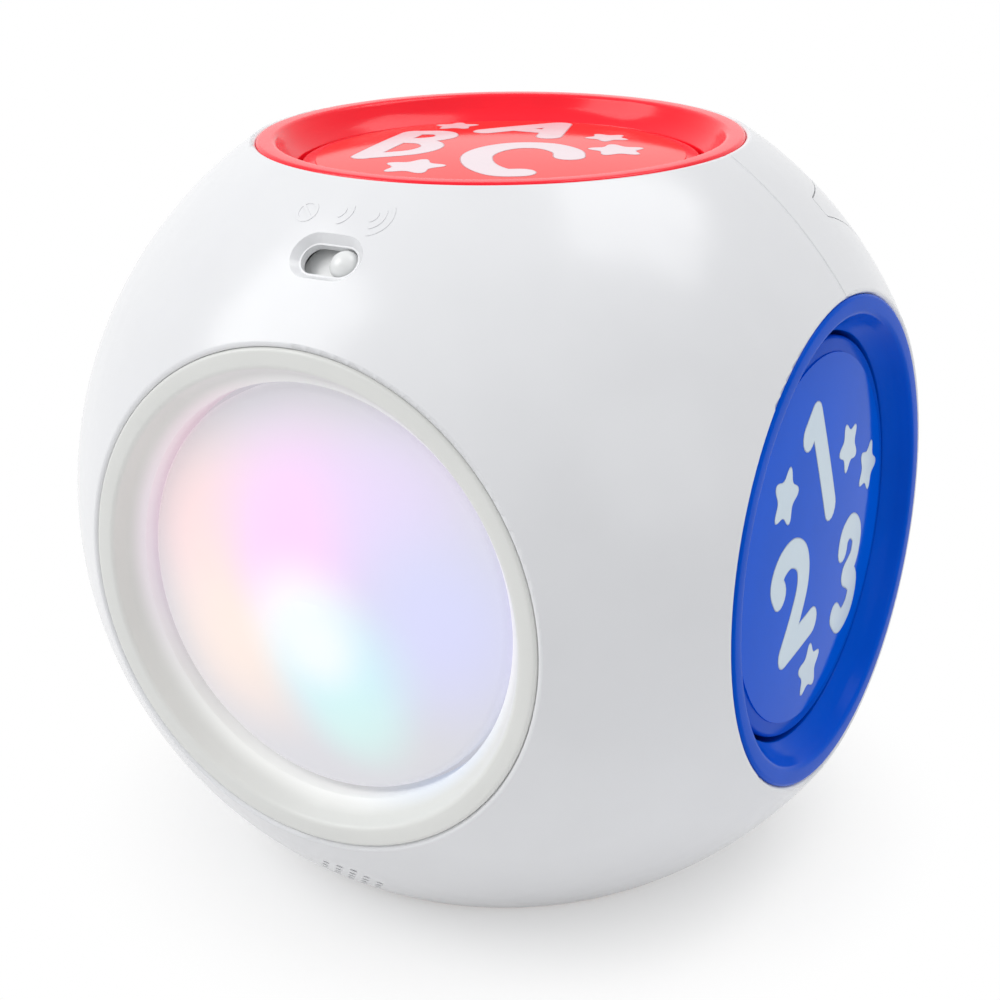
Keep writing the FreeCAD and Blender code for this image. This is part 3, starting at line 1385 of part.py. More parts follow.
def write(nodes):
    os.makedirs("parts", exist_ok=True)
    for name, pieces in nodes.items():
        solids = [solid for piece in pieces for solid in solids_of(piece)]
        shape = solids[0] if len(solids) == 1 else Part.makeCompound(solids)
        shape.translate(V(0, 0, FACE_REACH))
        shape.exportStep("parts/" + name + ".step")
        volume = sum(solid.Volume for solid in solids)
        state = "valid" if shape.isValid() else "INVALID"
        print(name, len(solids), "solids", round(volume, 1), "mm3", state)


write(build())
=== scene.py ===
# %% [markdown]
# # A baby activity cube
#
# The toy is a glossy white ball with six flat faces.  A coloured ring sits in each
# face, and a press-in disc floats inside each ring: five printed buttons and one
# frosted dome that glows.  The working parts come from the engineering model, which
# is loaded first and stays where it is.  Blender then gives the parts that a child
# sees and touches their finished surfaces.

# %% Load the working model
import json
import math
import bmesh
import bpy
from mathutils import Matrix, Vector


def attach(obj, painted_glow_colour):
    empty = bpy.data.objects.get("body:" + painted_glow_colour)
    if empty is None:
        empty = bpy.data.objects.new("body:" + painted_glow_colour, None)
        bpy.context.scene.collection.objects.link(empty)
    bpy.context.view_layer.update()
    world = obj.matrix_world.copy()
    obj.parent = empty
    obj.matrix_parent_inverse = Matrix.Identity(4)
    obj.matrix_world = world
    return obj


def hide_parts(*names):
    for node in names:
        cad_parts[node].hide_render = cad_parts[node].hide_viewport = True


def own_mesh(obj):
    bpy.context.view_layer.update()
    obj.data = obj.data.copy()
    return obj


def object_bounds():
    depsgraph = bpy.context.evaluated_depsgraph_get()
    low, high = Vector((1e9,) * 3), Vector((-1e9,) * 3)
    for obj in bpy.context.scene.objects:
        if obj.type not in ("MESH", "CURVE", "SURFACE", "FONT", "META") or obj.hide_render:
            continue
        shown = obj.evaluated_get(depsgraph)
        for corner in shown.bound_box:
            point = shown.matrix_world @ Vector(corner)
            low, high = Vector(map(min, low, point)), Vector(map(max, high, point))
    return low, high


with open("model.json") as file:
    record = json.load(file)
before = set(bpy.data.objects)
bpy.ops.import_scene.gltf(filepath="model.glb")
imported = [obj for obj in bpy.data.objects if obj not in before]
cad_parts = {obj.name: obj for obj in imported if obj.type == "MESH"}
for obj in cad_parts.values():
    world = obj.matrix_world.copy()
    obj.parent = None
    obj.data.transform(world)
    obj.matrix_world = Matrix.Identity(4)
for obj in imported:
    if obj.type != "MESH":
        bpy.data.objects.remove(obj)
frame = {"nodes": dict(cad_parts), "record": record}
cad_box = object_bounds()
nodes = frame["nodes"]
print("parts in the model:", len(nodes))

# %% [markdown]
# ## Measuring the model
#
# A finished surface only fits if it starts from the real part.  Every face of the toy
# is round, so two numbers place a point on it: how far it lies from the axis of the
# face, and how deep it lies below the flat rim.  These helpers read both from the
# model, and each size below is measured instead of being typed in again.

# %% Face directions and a ruler
MM = 0.001
low_corner, high_corner = cad_box
CENTRE = (low_corner + high_corner) / 2
REACH = (high_corner.x - low_corner.x) / 2
FACES = {
    "front": (Vector((1, 0, 0)), Vector((0, 0, 1))),
    "right": (Vector((0, 1, 0)), Vector((0, 0, 1))),
    "back": (Vector((-1, 0, 0)), Vector((0, 0, 1))),
    "left": (Vector((0, -1, 0)), Vector((0, 0, 1))),
    "top": (Vector((1, 0, 0)), Vector((0, 1, 0))),
    "bottom": (Vector((1, 0, 0)), Vector((0, -1, 0))),
}
BUTTON_FACES = ("right", "back", "left", "top", "bottom")


def frame_of(across, up):
    """Matrix that takes a local shape, +Z outward, to its place about the ball centre."""
    out = across.cross(up)
    turn = Matrix((across, up, out)).transposed().to_4x4()
    return Matrix.Translation(CENTRE) @ turn


def ruler(node, face, shallow=-1.0, deep=100.0):
    """Smallest and largest distance from the face axis, in mm, between two depths."""
    across, up = FACES[face]
    out = across.cross(up)
    found = []
    for vertex in nodes[node].data.vertices:
        local = vertex.co - CENTRE
        depth = (REACH - local.dot(out)) / MM
        if shallow <= depth <= deep:
            found.append(math.hypot(local.dot(across), local.dot(up)) / MM)
    return min(found), max(found)


def shallowest(node, face):
    """Depth of the highest point of a part below the rim plane, in mm."""
    out = FACES[face][0].cross(FACES[face][1])
    return min((REACH - (v.co - CENTRE).dot(out)) / MM for v in nodes[node].data.vertices)


print(f"rims lie {REACH / MM:.1f} mm from the centre, {len(FACES)} faces")

# %% [markdown]
# The six faces are alike, so one of each kind of part is enough to measure: a ring, a
# cap and a label.  A band of depths picks out one wall of a part.

# %% Sizes that the surfaces start from
RING_WALL_DEPTHS = (0.5, 5.0)
CAP_WALL_DEPTHS = (0.0, 11.0)
BALL = max((v.co - CENTRE).length for v in nodes["front_shell"].data.vertices) / MM
RING_OUTSIDE = ruler("ring_front", "front", *RING_WALL_DEPTHS)[1]
RING_BORE = ruler("ring_front", "front")[0]
CAP_RADIUS = ruler("light_dome", "front", *CAP_WALL_DEPTHS)[1]
LABEL_RADIUS = ruler("label_right", "right")[1]
LABEL_DEPTH = shallowest("label_right", "right")
DOME_DEPTH = shallowest("light_dome", "front")
print(f"ball radius {BALL:.2f}, ring {RING_OUTSIDE:.2f} outside and {RING_BORE:.2f} bore,",
      f"cap {CAP_RADIUS:.2f}, label {LABEL_RADIUS:.2f} at depth {LABEL_DEPTH:.2f}")

# %% [markdown]
# ## Where the viewer stands
#
# The toy is seen from a little above, turned so that the glowing face is on the left
# and the blue face on the right.  A long lens, fairly close, keeps the ball round.

# %% Camera
VIEW_AZIMUTH = math.radians(30.13)
VIEW_HEIGHT = math.radians(20.44)
VIEW_DISTANCE = 0.4284
VIEW_ROLL = math.radians(-0.87)
LENS_LENGTH = 71.74
AIM = CENTRE + Vector((-0.0003, -0.0019, -0.0039))
toward_viewer = Vector((math.sin(VIEW_AZIMUTH) * math.cos(VIEW_HEIGHT),
                        -math.cos(VIEW_AZIMUTH) * math.cos(VIEW_HEIGHT),
                        math.sin(VIEW_HEIGHT)))
camera_data = bpy.data.cameras.new("viewer")
camera_data.lens = LENS_LENGTH
camera = bpy.data.objects.new("viewer", camera_data)
camera.location = CENTRE + toward_viewer * VIEW_DISTANCE
look = (AIM - camera.location).to_track_quat("-Z", "Y").to_matrix().to_4x4()
camera.matrix_world = Matrix.Translation(camera.location) @ look @ Matrix.Rotation(VIEW_ROLL, 4, "Z")
bpy.context.scene.collection.objects.link(camera)
bpy.context.scene.camera = camera
print("camera at", [round(c, 4) for c in camera.location])

# %% [markdown]
# ## Moulded plastic
#
# Almost every part of the toy is injection-moulded ABS.  Polished ABS isn't one flat
# colour: the pigment drifts by a percent or two, the polish is a little uneven, and a
# faint orange-peel ripple bends the reflections.  A small node recipe makes all three
# from noise, so that one function gives every coloured part its own finish.

# %% Small helpers for finishes
NOISE_RANGE = (0.3, 0.7)


def new_finish(name):
    """Empty material with its nodes and links."""
    material = bpy.data.materials.new(name)
    material.use_nodes = True
    return material, material.node_tree.nodes, material.node_tree.links


def noise_at(tree_nodes, links, coordinates, scale, detail=2.0):
    """Cloudy value between 0 and 1."""
    noise = tree_nodes.new("ShaderNodeTexNoise")
    noise.inputs["Scale"].default_value = scale
    noise.inputs["Detail"].default_value = detail
    links.new(coordinates, noise.inputs["Vector"])
    return noise.outputs["Fac"]


def spread(tree_nodes, links, value, low, high):
    """Stretch a noise value over a range."""
    span = tree_nodes.new("ShaderNodeMapRange")
    span.inputs["From Min"].default_value = NOISE_RANGE[0]
    span.inputs["From Max"].default_value = NOISE_RANGE[1]
    span.inputs["To Min"].default_value = low
    span.inputs["To Max"].default_value = high
    links.new(value, span.inputs["Value"])
    return span.outputs["Result"]


def blended(tree_nodes, links, first, second, amount):
    """Mix two colours; each is a colour or a socket."""
    mix = tree_nodes.new("ShaderNodeMix")
    mix.data_type = "RGBA"
    for source, socket in ((first, mix.inputs["A"]), (second, mix.inputs["B"])):
        if isinstance(source, tuple):
            socket.default_value = (*source, 1)
        else:
            links.new(source, socket)
    if isinstance(amount, float):
        mix.inputs["Factor"].default_value = amount
    else:
        links.new(amount, mix.inputs["Factor"])
    return mix.outputs["Result"]


print("noise is used from", NOISE_RANGE[0], "to", NOISE_RANGE[1])

# %% [markdown]
# A real ripple is far too fine to model.  A bump bends the reflections without adding
# any faces, and its height is a few hundredths of a millimetre at most.

# %% A fine ripple
RIPPLE_STRENGTH = 0.35
RIPPLE_DETAIL = 3.0


def rippled(tree_nodes, links, coordinates, shader, scale, height):
    """Fine unevenness of a moulded or drawn surface."""
    bump = tree_nodes.new("ShaderNodeBump")
    bump.inputs["Strength"].default_value = RIPPLE_STRENGTH
    bump.inputs["Distance"].default_value = height
    links.new(noise_at(tree_nodes, links, coordinates, scale, RIPPLE_DETAIL), bump.inputs["Height"])
    links.new(bump.outputs["Normal"], shader.inputs["Normal"])


def shifted(colour, amount):
    """Colour made lighter or darker by a share of itself."""
    return tuple(min(1.0, max(0.0, c * (1 + amount))) for c in colour)


print("ripple strength", RIPPLE_STRENGTH)

# %% [markdown]
# Two recipes cover the whole toy.  Plastic has a pigment that drifts; metal has a
# stain and a drawn grain.  The gloss of the coloured plastics is set low: a bright
# tent all round would otherwise wash their colour out.

# %% Recipes for plastic and metal
CLOUD_SCALE = 55.0
POLISH_SCALE = 160.0
POLISH_DETAIL = 4.0
POLISH_SPREAD = (0.85, 1.2)
RIPPLE_SCALE = 900.0


def plastic(name, colour, polish=0.2, drift=0.04, ripple=0.00002, gloss=0.5):
    """Moulded plastic: colour drift, uneven polish and a fine ripple."""
    material, tree_nodes, links = new_finish(name)
    shader = tree_nodes["Principled BSDF"]
    place = tree_nodes.new("ShaderNodeTexCoord").outputs["Object"]
    cloud = spread(tree_nodes, links, noise_at(tree_nodes, links, place, CLOUD_SCALE), 0.0, 1.0)
    mixed = blended(tree_nodes, links, shifted(colour, -drift), shifted(colour, drift), cloud)
    links.new(mixed, shader.inputs["Base Color"])
    uneven = noise_at(tree_nodes, links, place, POLISH_SCALE, POLISH_DETAIL)
    low, high = POLISH_SPREAD
    links.new(spread(tree_nodes, links, uneven, polish * low, polish * high), shader.inputs["Roughness"])
    shader.inputs["Specular IOR Level"].default_value = gloss
    rippled(tree_nodes, links, place, shader, RIPPLE_SCALE, ripple)
    return material


STAIN_SCALE = 120.0
STAIN_SHIFTS = (-0.12, 0.08)
METAL_POLISH_SCALE = 400.0
METAL_POLISH_SPREAD = (0.8, 1.3)
GRAIN_SCALE = 1500.0
GRAIN_HEIGHT = 0.00001


def metal(name, colour, polish=0.3):
    """Bare metal with a drawn grain."""
    material, tree_nodes, links = new_finish(name)
    shader = tree_nodes["Principled BSDF"]
    shader.inputs["Metallic"].default_value = 1.0
    place = tree_nodes.new("ShaderNodeTexCoord").outputs["Object"]
    stain = spread(tree_nodes, links, noise_at(tree_nodes, links, place, STAIN_SCALE), 0.0, 1.0)
    darker, lighter = (shifted(colour, amount) for amount in STAIN_SHIFTS)
    mixed = blended(tree_nodes, links, darker, lighter, stain)
    links.new(mixed, shader.inputs["Base Color"])
    uneven = noise_at(tree_nodes, links, place, METAL_POLISH_SCALE, POLISH_DETAIL)
    low, high = METAL_POLISH_SPREAD
    links.new(spread(tree_nodes, links, uneven, polish * low, polish * high), shader.inputs["Roughness"])
    rippled(tree_nodes, links, place, shader, GRAIN_SCALE, GRAIN_HEIGHT)
    return material


print("plastic polish varies by", POLISH_SPREAD, "and metal polish by", METAL_POLISH_SPREAD)

# %% [markdown]
# One table holds every finish of the toy.  A colour could sit beside each part, but a
# table shows at a glance which plastics belong together.

# %% The table of finishes
WHITE = (0.795, 0.80, 0.81)
FINISHES = {
    "white_shell": plastic("white_shell", WHITE, polish=0.22, drift=0.012, ripple=0.000008, gloss=0.34),
    "frosted_ring": plastic("frosted_ring", (0.70, 0.71, 0.66), polish=0.3, drift=0.02),
    "light_dome": plastic("light_dome", (0.8, 0.8, 0.85), polish=0.35, drift=0.02),
    "blue_plastic": plastic("blue_plastic", (0.0, 0.085, 0.60), polish=0.17, gloss=0.03),
    "red_plastic": plastic("red_plastic", (0.97, 0.012, 0.03), polish=0.17, gloss=0.22),
    "yellow_plastic": plastic("yellow_plastic", (0.90, 0.52, 0.01), polish=0.17, gloss=0.3),
    "green_plastic": plastic("green_plastic", (0.015, 0.42, 0.07), polish=0.17, gloss=0.25),
    "orange_plastic": plastic("orange_plastic", (0.92, 0.18, 0.008), polish=0.17, gloss=0.3),
    "blue_label": plastic("blue_label", (0.0, 0.10, 0.68), polish=0.07, gloss=0.04),
    "red_label": plastic("red_label", (0.98, 0.045, 0.045), polish=0.09, gloss=0.08),
    "yellow_label": plastic("yellow_label", (0.88, 0.56, 0.02), polish=0.1, gloss=0.4),
    "green_label": plastic("green_label", (0.03, 0.46, 0.10), polish=0.1, gloss=0.4),
    "orange_label": plastic("orange_label", (0.9, 0.21, 0.015), polish=0.1, gloss=0.4),
    "knob_plastic": plastic("knob_plastic", (0.80, 0.81, 0.80), polish=0.25, drift=0.015),
    "inner_plastic": plastic("inner_plastic", (0.55, 0.56, 0.56), polish=0.45),
    "steel": metal("steel", (0.62, 0.62, 0.64), polish=0.3),
    "spring_steel": metal("spring_steel", (0.5, 0.5, 0.52), polish=0.22),
    "cell_can": plastic("cell_can", (0.02, 0.05, 0.05), polish=0.25),
    "silicone": plastic("silicone", (0.35, 0.36, 0.37), polish=0.6),
    "circuit_board": plastic("circuit_board", (0.02, 0.16, 0.06), polish=0.35),
    "black_parts": plastic("black_parts", (0.015, 0.015, 0.017), polish=0.4),
    "led_lens": plastic("led_lens", (0.75, 0.78, 0.80), polish=0.1),
    "speaker_steel": metal("speaker_steel", (0.55, 0.55, 0.55), polish=0.35),
    "paper_cone": plastic("paper_cone", (0.03, 0.03, 0.032), polish=0.8, ripple=0.00006),
    "magnet": plastic("magnet", (0.05, 0.05, 0.055), polish=0.45),
    "red_lead": plastic("red_lead", (0.55, 0.02, 0.015), polish=0.45),
    "black_lead": plastic("black_lead", (0.02, 0.02, 0.022), polish=0.45),
}
print("finishes:", len(FINISHES))

# %% [markdown]
# ## The glowing dome
#
# Six small lamps of different colours shine through the frosted dome, and their light
# mixes inside the plastic.  From outside that looks like wide, pale clouds of colour
# with no edges.  A picture could hold them, but a picture needs unwrapping; a list of
# soft spots is simpler.  Each spot is a place, a reach and a colour, and a distance
# node fades it into its neighbours.  The same recipe tints the wall round the dome,
# where the light leaks out.

# %% Soft spots of light
def place_on(face, across, up, depth):
    """Point in model space from mm across, mm up and mm below the rim of a face."""
    return frame_of(*FACES[face]) @ Vector((across * MM, up * MM, REACH - depth * MM))


def clouds(tree_nodes, links, place, ground, spots):
    """Colour that fades from the ground colour into each soft spot."""
    colour = ground
    for across, up, reach, strength, tint in spots:
        apart = tree_nodes.new("ShaderNodeVectorMath")
        apart.operation = "DISTANCE"
        apart.inputs[1].default_value = place_on("front", across, up, DOME_DEPTH)
        links.new(place, apart.inputs[0])
        fade = tree_nodes.new("ShaderNodeMapRange")
        fade.interpolation_type = "SMOOTHERSTEP"
        fade.inputs["From Min"].default_value = reach * MM
        fade.inputs["From Max"].default_value = 0.0
        fade.inputs["To Max"].default_value = strength
        links.new(apart.outputs["Value"], fade.inputs["Value"])
        colour = blended(tree_nodes, links, colour, tint, fade.outputs["Result"])
    return colour


print("the dome tops out", round(DOME_DEPTH, 2), "mm below the rim")

# %% [markdown]
# The tints are pale, because frosted plastic mixes each lamp with plenty of white.
# Each row of the list reads: mm across, mm up, reach in mm, strength, tint.

# %% Where the colours glow
SALMON = (1.0, 0.74, 0.74)
PEACH = (1.0, 0.84, 0.76)
PINK = (1.0, 0.68, 1.0)
CYAN = (0.66, 0.93, 1.0)
AQUA = (0.70, 0.97, 0.90)
LAVENDER = (0.72, 0.73, 1.0)
VIOLET = (0.84, 0.72, 1.0)
PALE = (1.0, 1.0, 1.0)
ROSE = (1.0, 0.45, 0.75)
DEEP_BLUE = (0.35, 0.55, 1.0)
DOME_SPOTS = (
    (-22, 9, 32, 0.95, SALMON), (-17, -12, 30, 0.9, PEACH), (-1, 16, 30, 0.95, PINK),
    (-3, 5, 20, 0.7, PINK), (18, 22, 26, 0.7, VIOLET), (27, 0, 33, 0.95, LAVENDER),
    (-1, -5, 20, 0.95, PALE), (6, -14, 24, 0.95, CYAN), (9, -24, 17, 0.6, AQUA),
    (2, -9, 14, 0.75, PALE),
)
GAP_SPOTS = ((-42, 8, 46, 1.0, PINK), (-30, 34, 30, 0.8, ROSE), (42, 8, 34, 0.9, VIOLET),
             (30, -32, 34, 1.0, DEEP_BLUE), (-20, -38, 26, 0.8, PALE))
print("spots of light:", len(DOME_SPOTS) + len(GAP_SPOTS))

# %% [markdown]
# The dome glows all over.  The frosted ring glows only in a narrow band next to the
# dome, where light leaks through the gap, so its glow fades with distance from the
# axis of the face.

# %% Frosted plastic that glows
GLOW_GROUND = (0.74, 0.735, 0.77)
BLACK = (0.0, 0.0, 0.0)
PAINTED_GLOW_DIMMING = 0.28
DOME_GLOW = 0.37
GAP_GLOW = 0.2
GAP_GLOW_WIDTH = 2.6


def glowing(name, ground, spots, strength, mask_radii=None):
    """Frosted plastic lit from inside by soft spots of colour; on the dome the same spots are also
    painted into its colour.
    """
    material = plastic(name, ground, polish=0.36, drift=0.015, gloss=0.35)
    tree_nodes, links = material.node_tree.nodes, material.node_tree.links
    shader = tree_nodes["Principled BSDF"]
    place = tree_nodes.new("ShaderNodeTexCoord").outputs["Object"]
    light = clouds(tree_nodes, links, place, GLOW_GROUND, spots)
    if mask_radii is None:
        # Painted light: on the dome the clouds of lamp light are also painted into the base colour, a
        # little darker, so they show under any lamp.
        painted_glow_colour = blended(tree_nodes, links, light, BLACK, PAINTED_GLOW_DIMMING)
        links.new(painted_glow_colour, shader.inputs["Base Color"])
    else:
        offset = tree_nodes.new("ShaderNodeVectorMath")
        offset.operation = "SUBTRACT"
        offset.inputs[1].default_value = place_on("front", 0, 0, 0)
        links.new(place, offset.inputs[0])
        flat = tree_nodes.new("ShaderNodeVectorMath")
        flat.operation = "MULTIPLY"
        flat.inputs[1].default_value = (1, 0, 1)
        links.new(offset.outputs["Vector"], flat.inputs[0])
        reach = tree_nodes.new("ShaderNodeVectorMath")
        reach.operation = "LENGTH"
        links.new(flat.outputs["Vector"], reach.inputs[0])
        fade = tree_nodes.new("ShaderNodeMapRange")
        fade.interpolation_type = "SMOOTHSTEP"
        fade.inputs["From Min"].default_value = mask_radii[1] * MM
        fade.inputs["From Max"].default_value = mask_radii[0] * MM
        links.new(reach.outputs["Value"], fade.inputs["Value"])
        light = blended(tree_nodes, links, BLACK, light, fade.outputs["Result"])
    links.new(light, shader.inputs["Emission Color"])
    shader.inputs["Emission Strength"].default_value = strength
    return material


FINISHES["light_dome"] = glowing("light_dome", (0.86, 0.86, 0.90), DOME_SPOTS, DOME_GLOW)
FINISHES["frosted_ring"] = glowing("frosted_ring", (0.76, 0.765, 0.735), GAP_SPOTS, GAP_GLOW,
                                   (RING_BORE, RING_BORE + GAP_GLOW_WIDTH))
print("glow of the dome", DOME_GLOW, "and of the gap", GAP_GLOW)

# %% [markdown]
# ## Finishes on the working parts
#
# The model's record says what each part is made of.  Reading it in a loop is surer
# than naming fifty parts by hand: a part can't be forgotten.

# %% Give every part of the model its finish
for row in frame["record"]["subparts"]:
    node = nodes[row["node"]]
    if not node.data.materials:
        node.data.materials.append(FINISHES[row["material_slot"]])
    for place in node.material_slots:
        place.material = FINISHES[row["material_slot"]]

# %% [markdown]
# ## Turned shapes
#
# The rings were moulded in tools cut on a lathe, so a lathe is also the natural way to
# draw them: a short outline of distance and depth, spun round the axis of the face.
# Rounded corners are worked out from the two straight runs that meet, the way a
# toolmaker gives a corner a radius.  Many narrow steps round the axis keep the rim
# smooth in a close view.

# %% Outlines with rounded corners
def softened(corners, steps=6):
    """Points of an outline whose corners (radius, depth, rounding) are rounded."""
    points = []
    count = len(corners)
    for number, (x, y, rounding) in enumerate(corners):
        here = Vector((x, y))
        if rounding == 0:
            points.append(here)
            continue
        before = (Vector(corners[number - 1][:2]) - here).normalized()
        after = (Vector(corners[(number + 1) % count][:2]) - here).normalized()
        half_angle = before.angle(after) / 2
        centre = here + (before + after).normalized() * (rounding / math.sin(half_angle))
        start = here + before * (rounding / math.tan(half_angle)) - centre
        sweep = start.angle_signed(here + after * (rounding / math.tan(half_angle)) - centre)
        for step in range(steps + 1):
            turn = Matrix.Rotation(-sweep * step / steps, 2)
            points.append(centre + turn @ start)
    return points


def sagging(start, end, sag, steps=10):
    """Shallow hollow between two points, as outline corners without rounding."""
    chord = Vector(end) - Vector(start)
    across = Vector((-chord.y, chord.x)).normalized()
    return [(*(Vector(start) + chord * t + across * (4 * sag * t * (1 - t))), 0)
            for t in (step / steps for step in range(1, steps))]


print("points on one rounded corner:", len(softened([(0, 0, 0), (2, 0, 1), (2, 2, 0)])) - 2)

# %% [markdown]
# Blender can spin an outline with a modifier too.  Building the faces directly keeps
# the seam closed and lets the outline be placed on any face of the toy.

# %% A lathe for the six faces
TURNED_CREASE = math.radians(32)


def shown_piece(name, mesh, finishes):
    """Put a mesh in the scene with its finishes."""
    piece = bpy.data.objects.new(name, mesh)
    bpy.context.scene.collection.objects.link(piece)
    mesh.materials.clear()
    for finish in finishes:
        mesh.materials.append(finish)
    return piece


def spun(name, outline, face, finish, steps=240):
    """Spin a closed outline of (distance, depth) points in mm round a face axis."""
    place = frame_of(*FACES[face])
    form = bmesh.new()
    rows = []
    for step in range(steps):
        angle = 2 * math.pi * step / steps
        rows.append([form.verts.new(place @ Vector((point.x * MM * math.cos(angle),
                                                    point.x * MM * math.sin(angle),
                                                    REACH - point.y * MM)))
                     for point in outline])
    for step, row in enumerate(rows):
        following = rows[(step + 1) % steps]
        for number in range(len(outline)):
            onward = (number + 1) % len(outline)
            form.faces.new((row[number], row[onward], following[onward], following[number]))
    bmesh.ops.recalc_face_normals(form, faces=form.faces)
    mesh = bpy.data.meshes.new(name)
    form.to_mesh(mesh)
    form.free()
    mesh.shade_smooth()
    mesh.set_sharp_from_angle(angle=TURNED_CREASE)
    return shown_piece(name, mesh, [finish])


print("lathe creases from", round(math.degrees(TURNED_CREASE)), "degrees")

# %% [markdown]
# ## Six rings
#
# Each ring is one moulding: a narrow flat land that the toy rests on, a soft crest, a
# hollow bowl that leads a small hand inward, then a straight bore round the disc.  The
# crest gets a generous radius, because a sharp one would catch the light as a hard
# line.  The land and the bore come from the measured part.

# %% Rings
LAND_DEPTHS = (-0.1, 0.001)
LAND_INNER, LAND_OUTER = ruler("ring_front", "front", *LAND_DEPTHS)
BOWL_DEPTH = 5.4
BOWL_SAG = 0.5
BOWL_FLOOR = 1.2
FOOT_ROUND = 0.5
BORE_END = 12.1
FLANGE_REACH = ruler("ring_front", "front")[1]
EDGE_ROUND = RING_OUTSIDE - LAND_OUTER
EDGE_FILL = 0.235
CREST_ROUND = 1.3
CREST_INSET = 0.25
BORE_ROUND = 0.3
WALL = 2.0
CEILING_DEPTH = 2.4
CEILING_WIDTH = 0.6
FLANGE_TOP = 7.0
FLANGE_UNDER = 9.0
HIDDEN_BY_CREST = 3


def ring_outline():
    """Cross-section of a ring, from the outside wall over the crest and back below."""
    crest = (LAND_INNER - CREST_INSET, 0.0, CREST_ROUND)
    foot = (RING_BORE, BOWL_DEPTH, FOOT_ROUND)
    outside = RING_OUTSIDE + EDGE_FILL
    hollow = sagging(crest[:2], foot[:2], -BOWL_SAG)
    corners = [
        (outside, FLANGE_TOP, 0),
        (outside, 0.0, EDGE_ROUND),
        crest,
        *hollow[HIDDEN_BY_CREST:-1],
        foot,
        (RING_BORE, BORE_END, BORE_ROUND),
        (RING_BORE + WALL, BORE_END, 0),
        (RING_BORE + WALL, BOWL_DEPTH + BOWL_FLOOR, 0),
        (RING_OUTSIDE - WALL - CEILING_WIDTH, CEILING_DEPTH, 0),
        (RING_OUTSIDE - WALL, CEILING_DEPTH, 0),
        (RING_OUTSIDE - WALL, FLANGE_UNDER, 0),
        (FLANGE_REACH, FLANGE_UNDER, 0),
        (FLANGE_REACH, FLANGE_TOP, 0),
    ]
    return softened(corners)


print("ring land", round(LAND_INNER, 2), "to", round(LAND_OUTER, 2), "mm")
RING_COLOURS = {"front": "frosted_ring", "right": "blue_plastic", "back": "green_plastic",
                "left": "yellow_plastic", "top": "red_plastic", "bottom": "orange_plastic"}
for face, finish in RING_COLOURS.items():
    band = spun("rim_" + face, ring_outline(), face, FINISHES[finish])
    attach(band, "housing")
    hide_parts("ring_" + face)

# %% [markdown]
# ## Printed pictures
#
# The five buttons carry printed discs.  Their letters, numbers and shapes are plump
# strokes with round ends.  Each stroke here is a thin slab round a short path, the
# slabs of one sign are joined into one solid, and the solid is pressed onto the curved
# disc, as a film is.  A slightly wider, greyer copy below it makes the fine edge that
# such prints have.  The signs are plain generic ones, drawn for this toy.

# %% Paths
def curve_through(points, steps=7):
    """Smooth open path through a few points."""
    padded = [points[0], *points, points[-1]]
    path = []
    for a, b, c, d in zip(padded, padded[1:], padded[2:], padded[3:]):
        a, b, c, d = (Vector(p) for p in (a, b, c, d))
        for step in range(steps):
            t = step / steps
            path.append(0.5 * (2 * b + (c - a) * t + (2 * a - 5 * b + 4 * c - d) * t * t
                               + (3 * b - a - 3 * c + d) * t ** 3))
    path.append(Vector(points[-1]))
    return path


def bow(x, y, radius, start, end, steps=24):
    """Arc of a circle between two angles in degrees."""
    angles = [math.radians(start + (end - start) * step / steps) for step in range(steps + 1)]
    return [Vector((x + radius * math.cos(a), y + radius * math.sin(a))) for a in angles]


def straight(start, end, spacing=1.5):
    """Straight path with enough points to follow a curved disc."""
    start, end = Vector(start), Vector(end)
    count = max(1, round((end - start).length / spacing))
    return [start.lerp(end, step / count) for step in range(count + 1)]


def chain(*points, width):
    """One stroke for each run of a path with sharp corners."""
    return [(straight(a, b), width) for a, b in zip(points, points[1:])]


print("points on a path of 10 mm:", len(straight((0, 0), (10, 0))))

# %% [markdown]
# A path has no width.  A round pen drawn along it gives a plump stroke, and a star is
# a circle whose radius swings in and out five times.

# %% Strokes and stars
STAR_MEAN = 0.80
STAR_SWING = 0.175
STAR_SOFTENING = 0.025


def thick(path, width, cap_steps=8):
    """Outline of a path drawn with a round pen."""
    half = width / 2
    sides = []
    for number, point in enumerate(path):
        before = path[max(number - 1, 0)]
        after = path[min(number + 1, len(path) - 1)]
        along = (after - before).normalized()
        sides.append((point, Vector((-along.y, along.x)) * half))
    left = [point + side for point, side in sides]
    right = [point - side for point, side in reversed(sides)]

    def cap(point, side):
        turns = [Matrix.Rotation(math.pi * step / cap_steps, 2) for step in range(1, cap_steps)]
        return [point + side @ turn for turn in turns]

    return left + cap(path[-1], sides[-1][1]) + right + cap(path[0], -sides[0][1])


def star(x, y, radius, tilt, steps=60):
    """Plump five-pointed star."""
    points = []
    for step in range(steps):
        angle = 2 * math.pi * step / steps
        swing = STAR_SWING * math.cos(5 * angle) + STAR_SOFTENING * math.cos(10 * angle)
        reach = radius * (STAR_MEAN + swing)
        points.append(Vector((x + reach * math.cos(angle + math.radians(tilt)),
                              y + reach * math.sin(angle + math.radians(tilt)))))
    return points


print("a star of radius 5 has", len(star(0, 0, 5, 0)), "points")

# %% [markdown]
# Each stroke becomes a slab, and the slabs of one sign are joined into one solid, so
# that no walls are left inside where they cross.

# %% Slabs joined into one solid
def slab(outline):
    """Flat slab one unit thick inside a closed outline."""
    form = bmesh.new()
    bottom = [form.verts.new((p.x, p.y, 0)) for p in outline]
    top = [form.verts.new((p.x, p.y, 1)) for p in outline]
    form.faces.new(top)
    form.faces.new(list(reversed(bottom)))
    for number in range(len(outline)):
        onward = (number + 1) % len(outline)
        form.faces.new((bottom[number], bottom[onward], top[onward], top[number]))
    bmesh.ops.recalc_face_normals(form, faces=form.faces)
    mesh = bpy.data.meshes.new("slab")
    form.to_mesh(mesh)
    form.free()
    piece = bpy.data.objects.new("slab", mesh)
    bpy.context.scene.collection.objects.link(piece)
    return piece


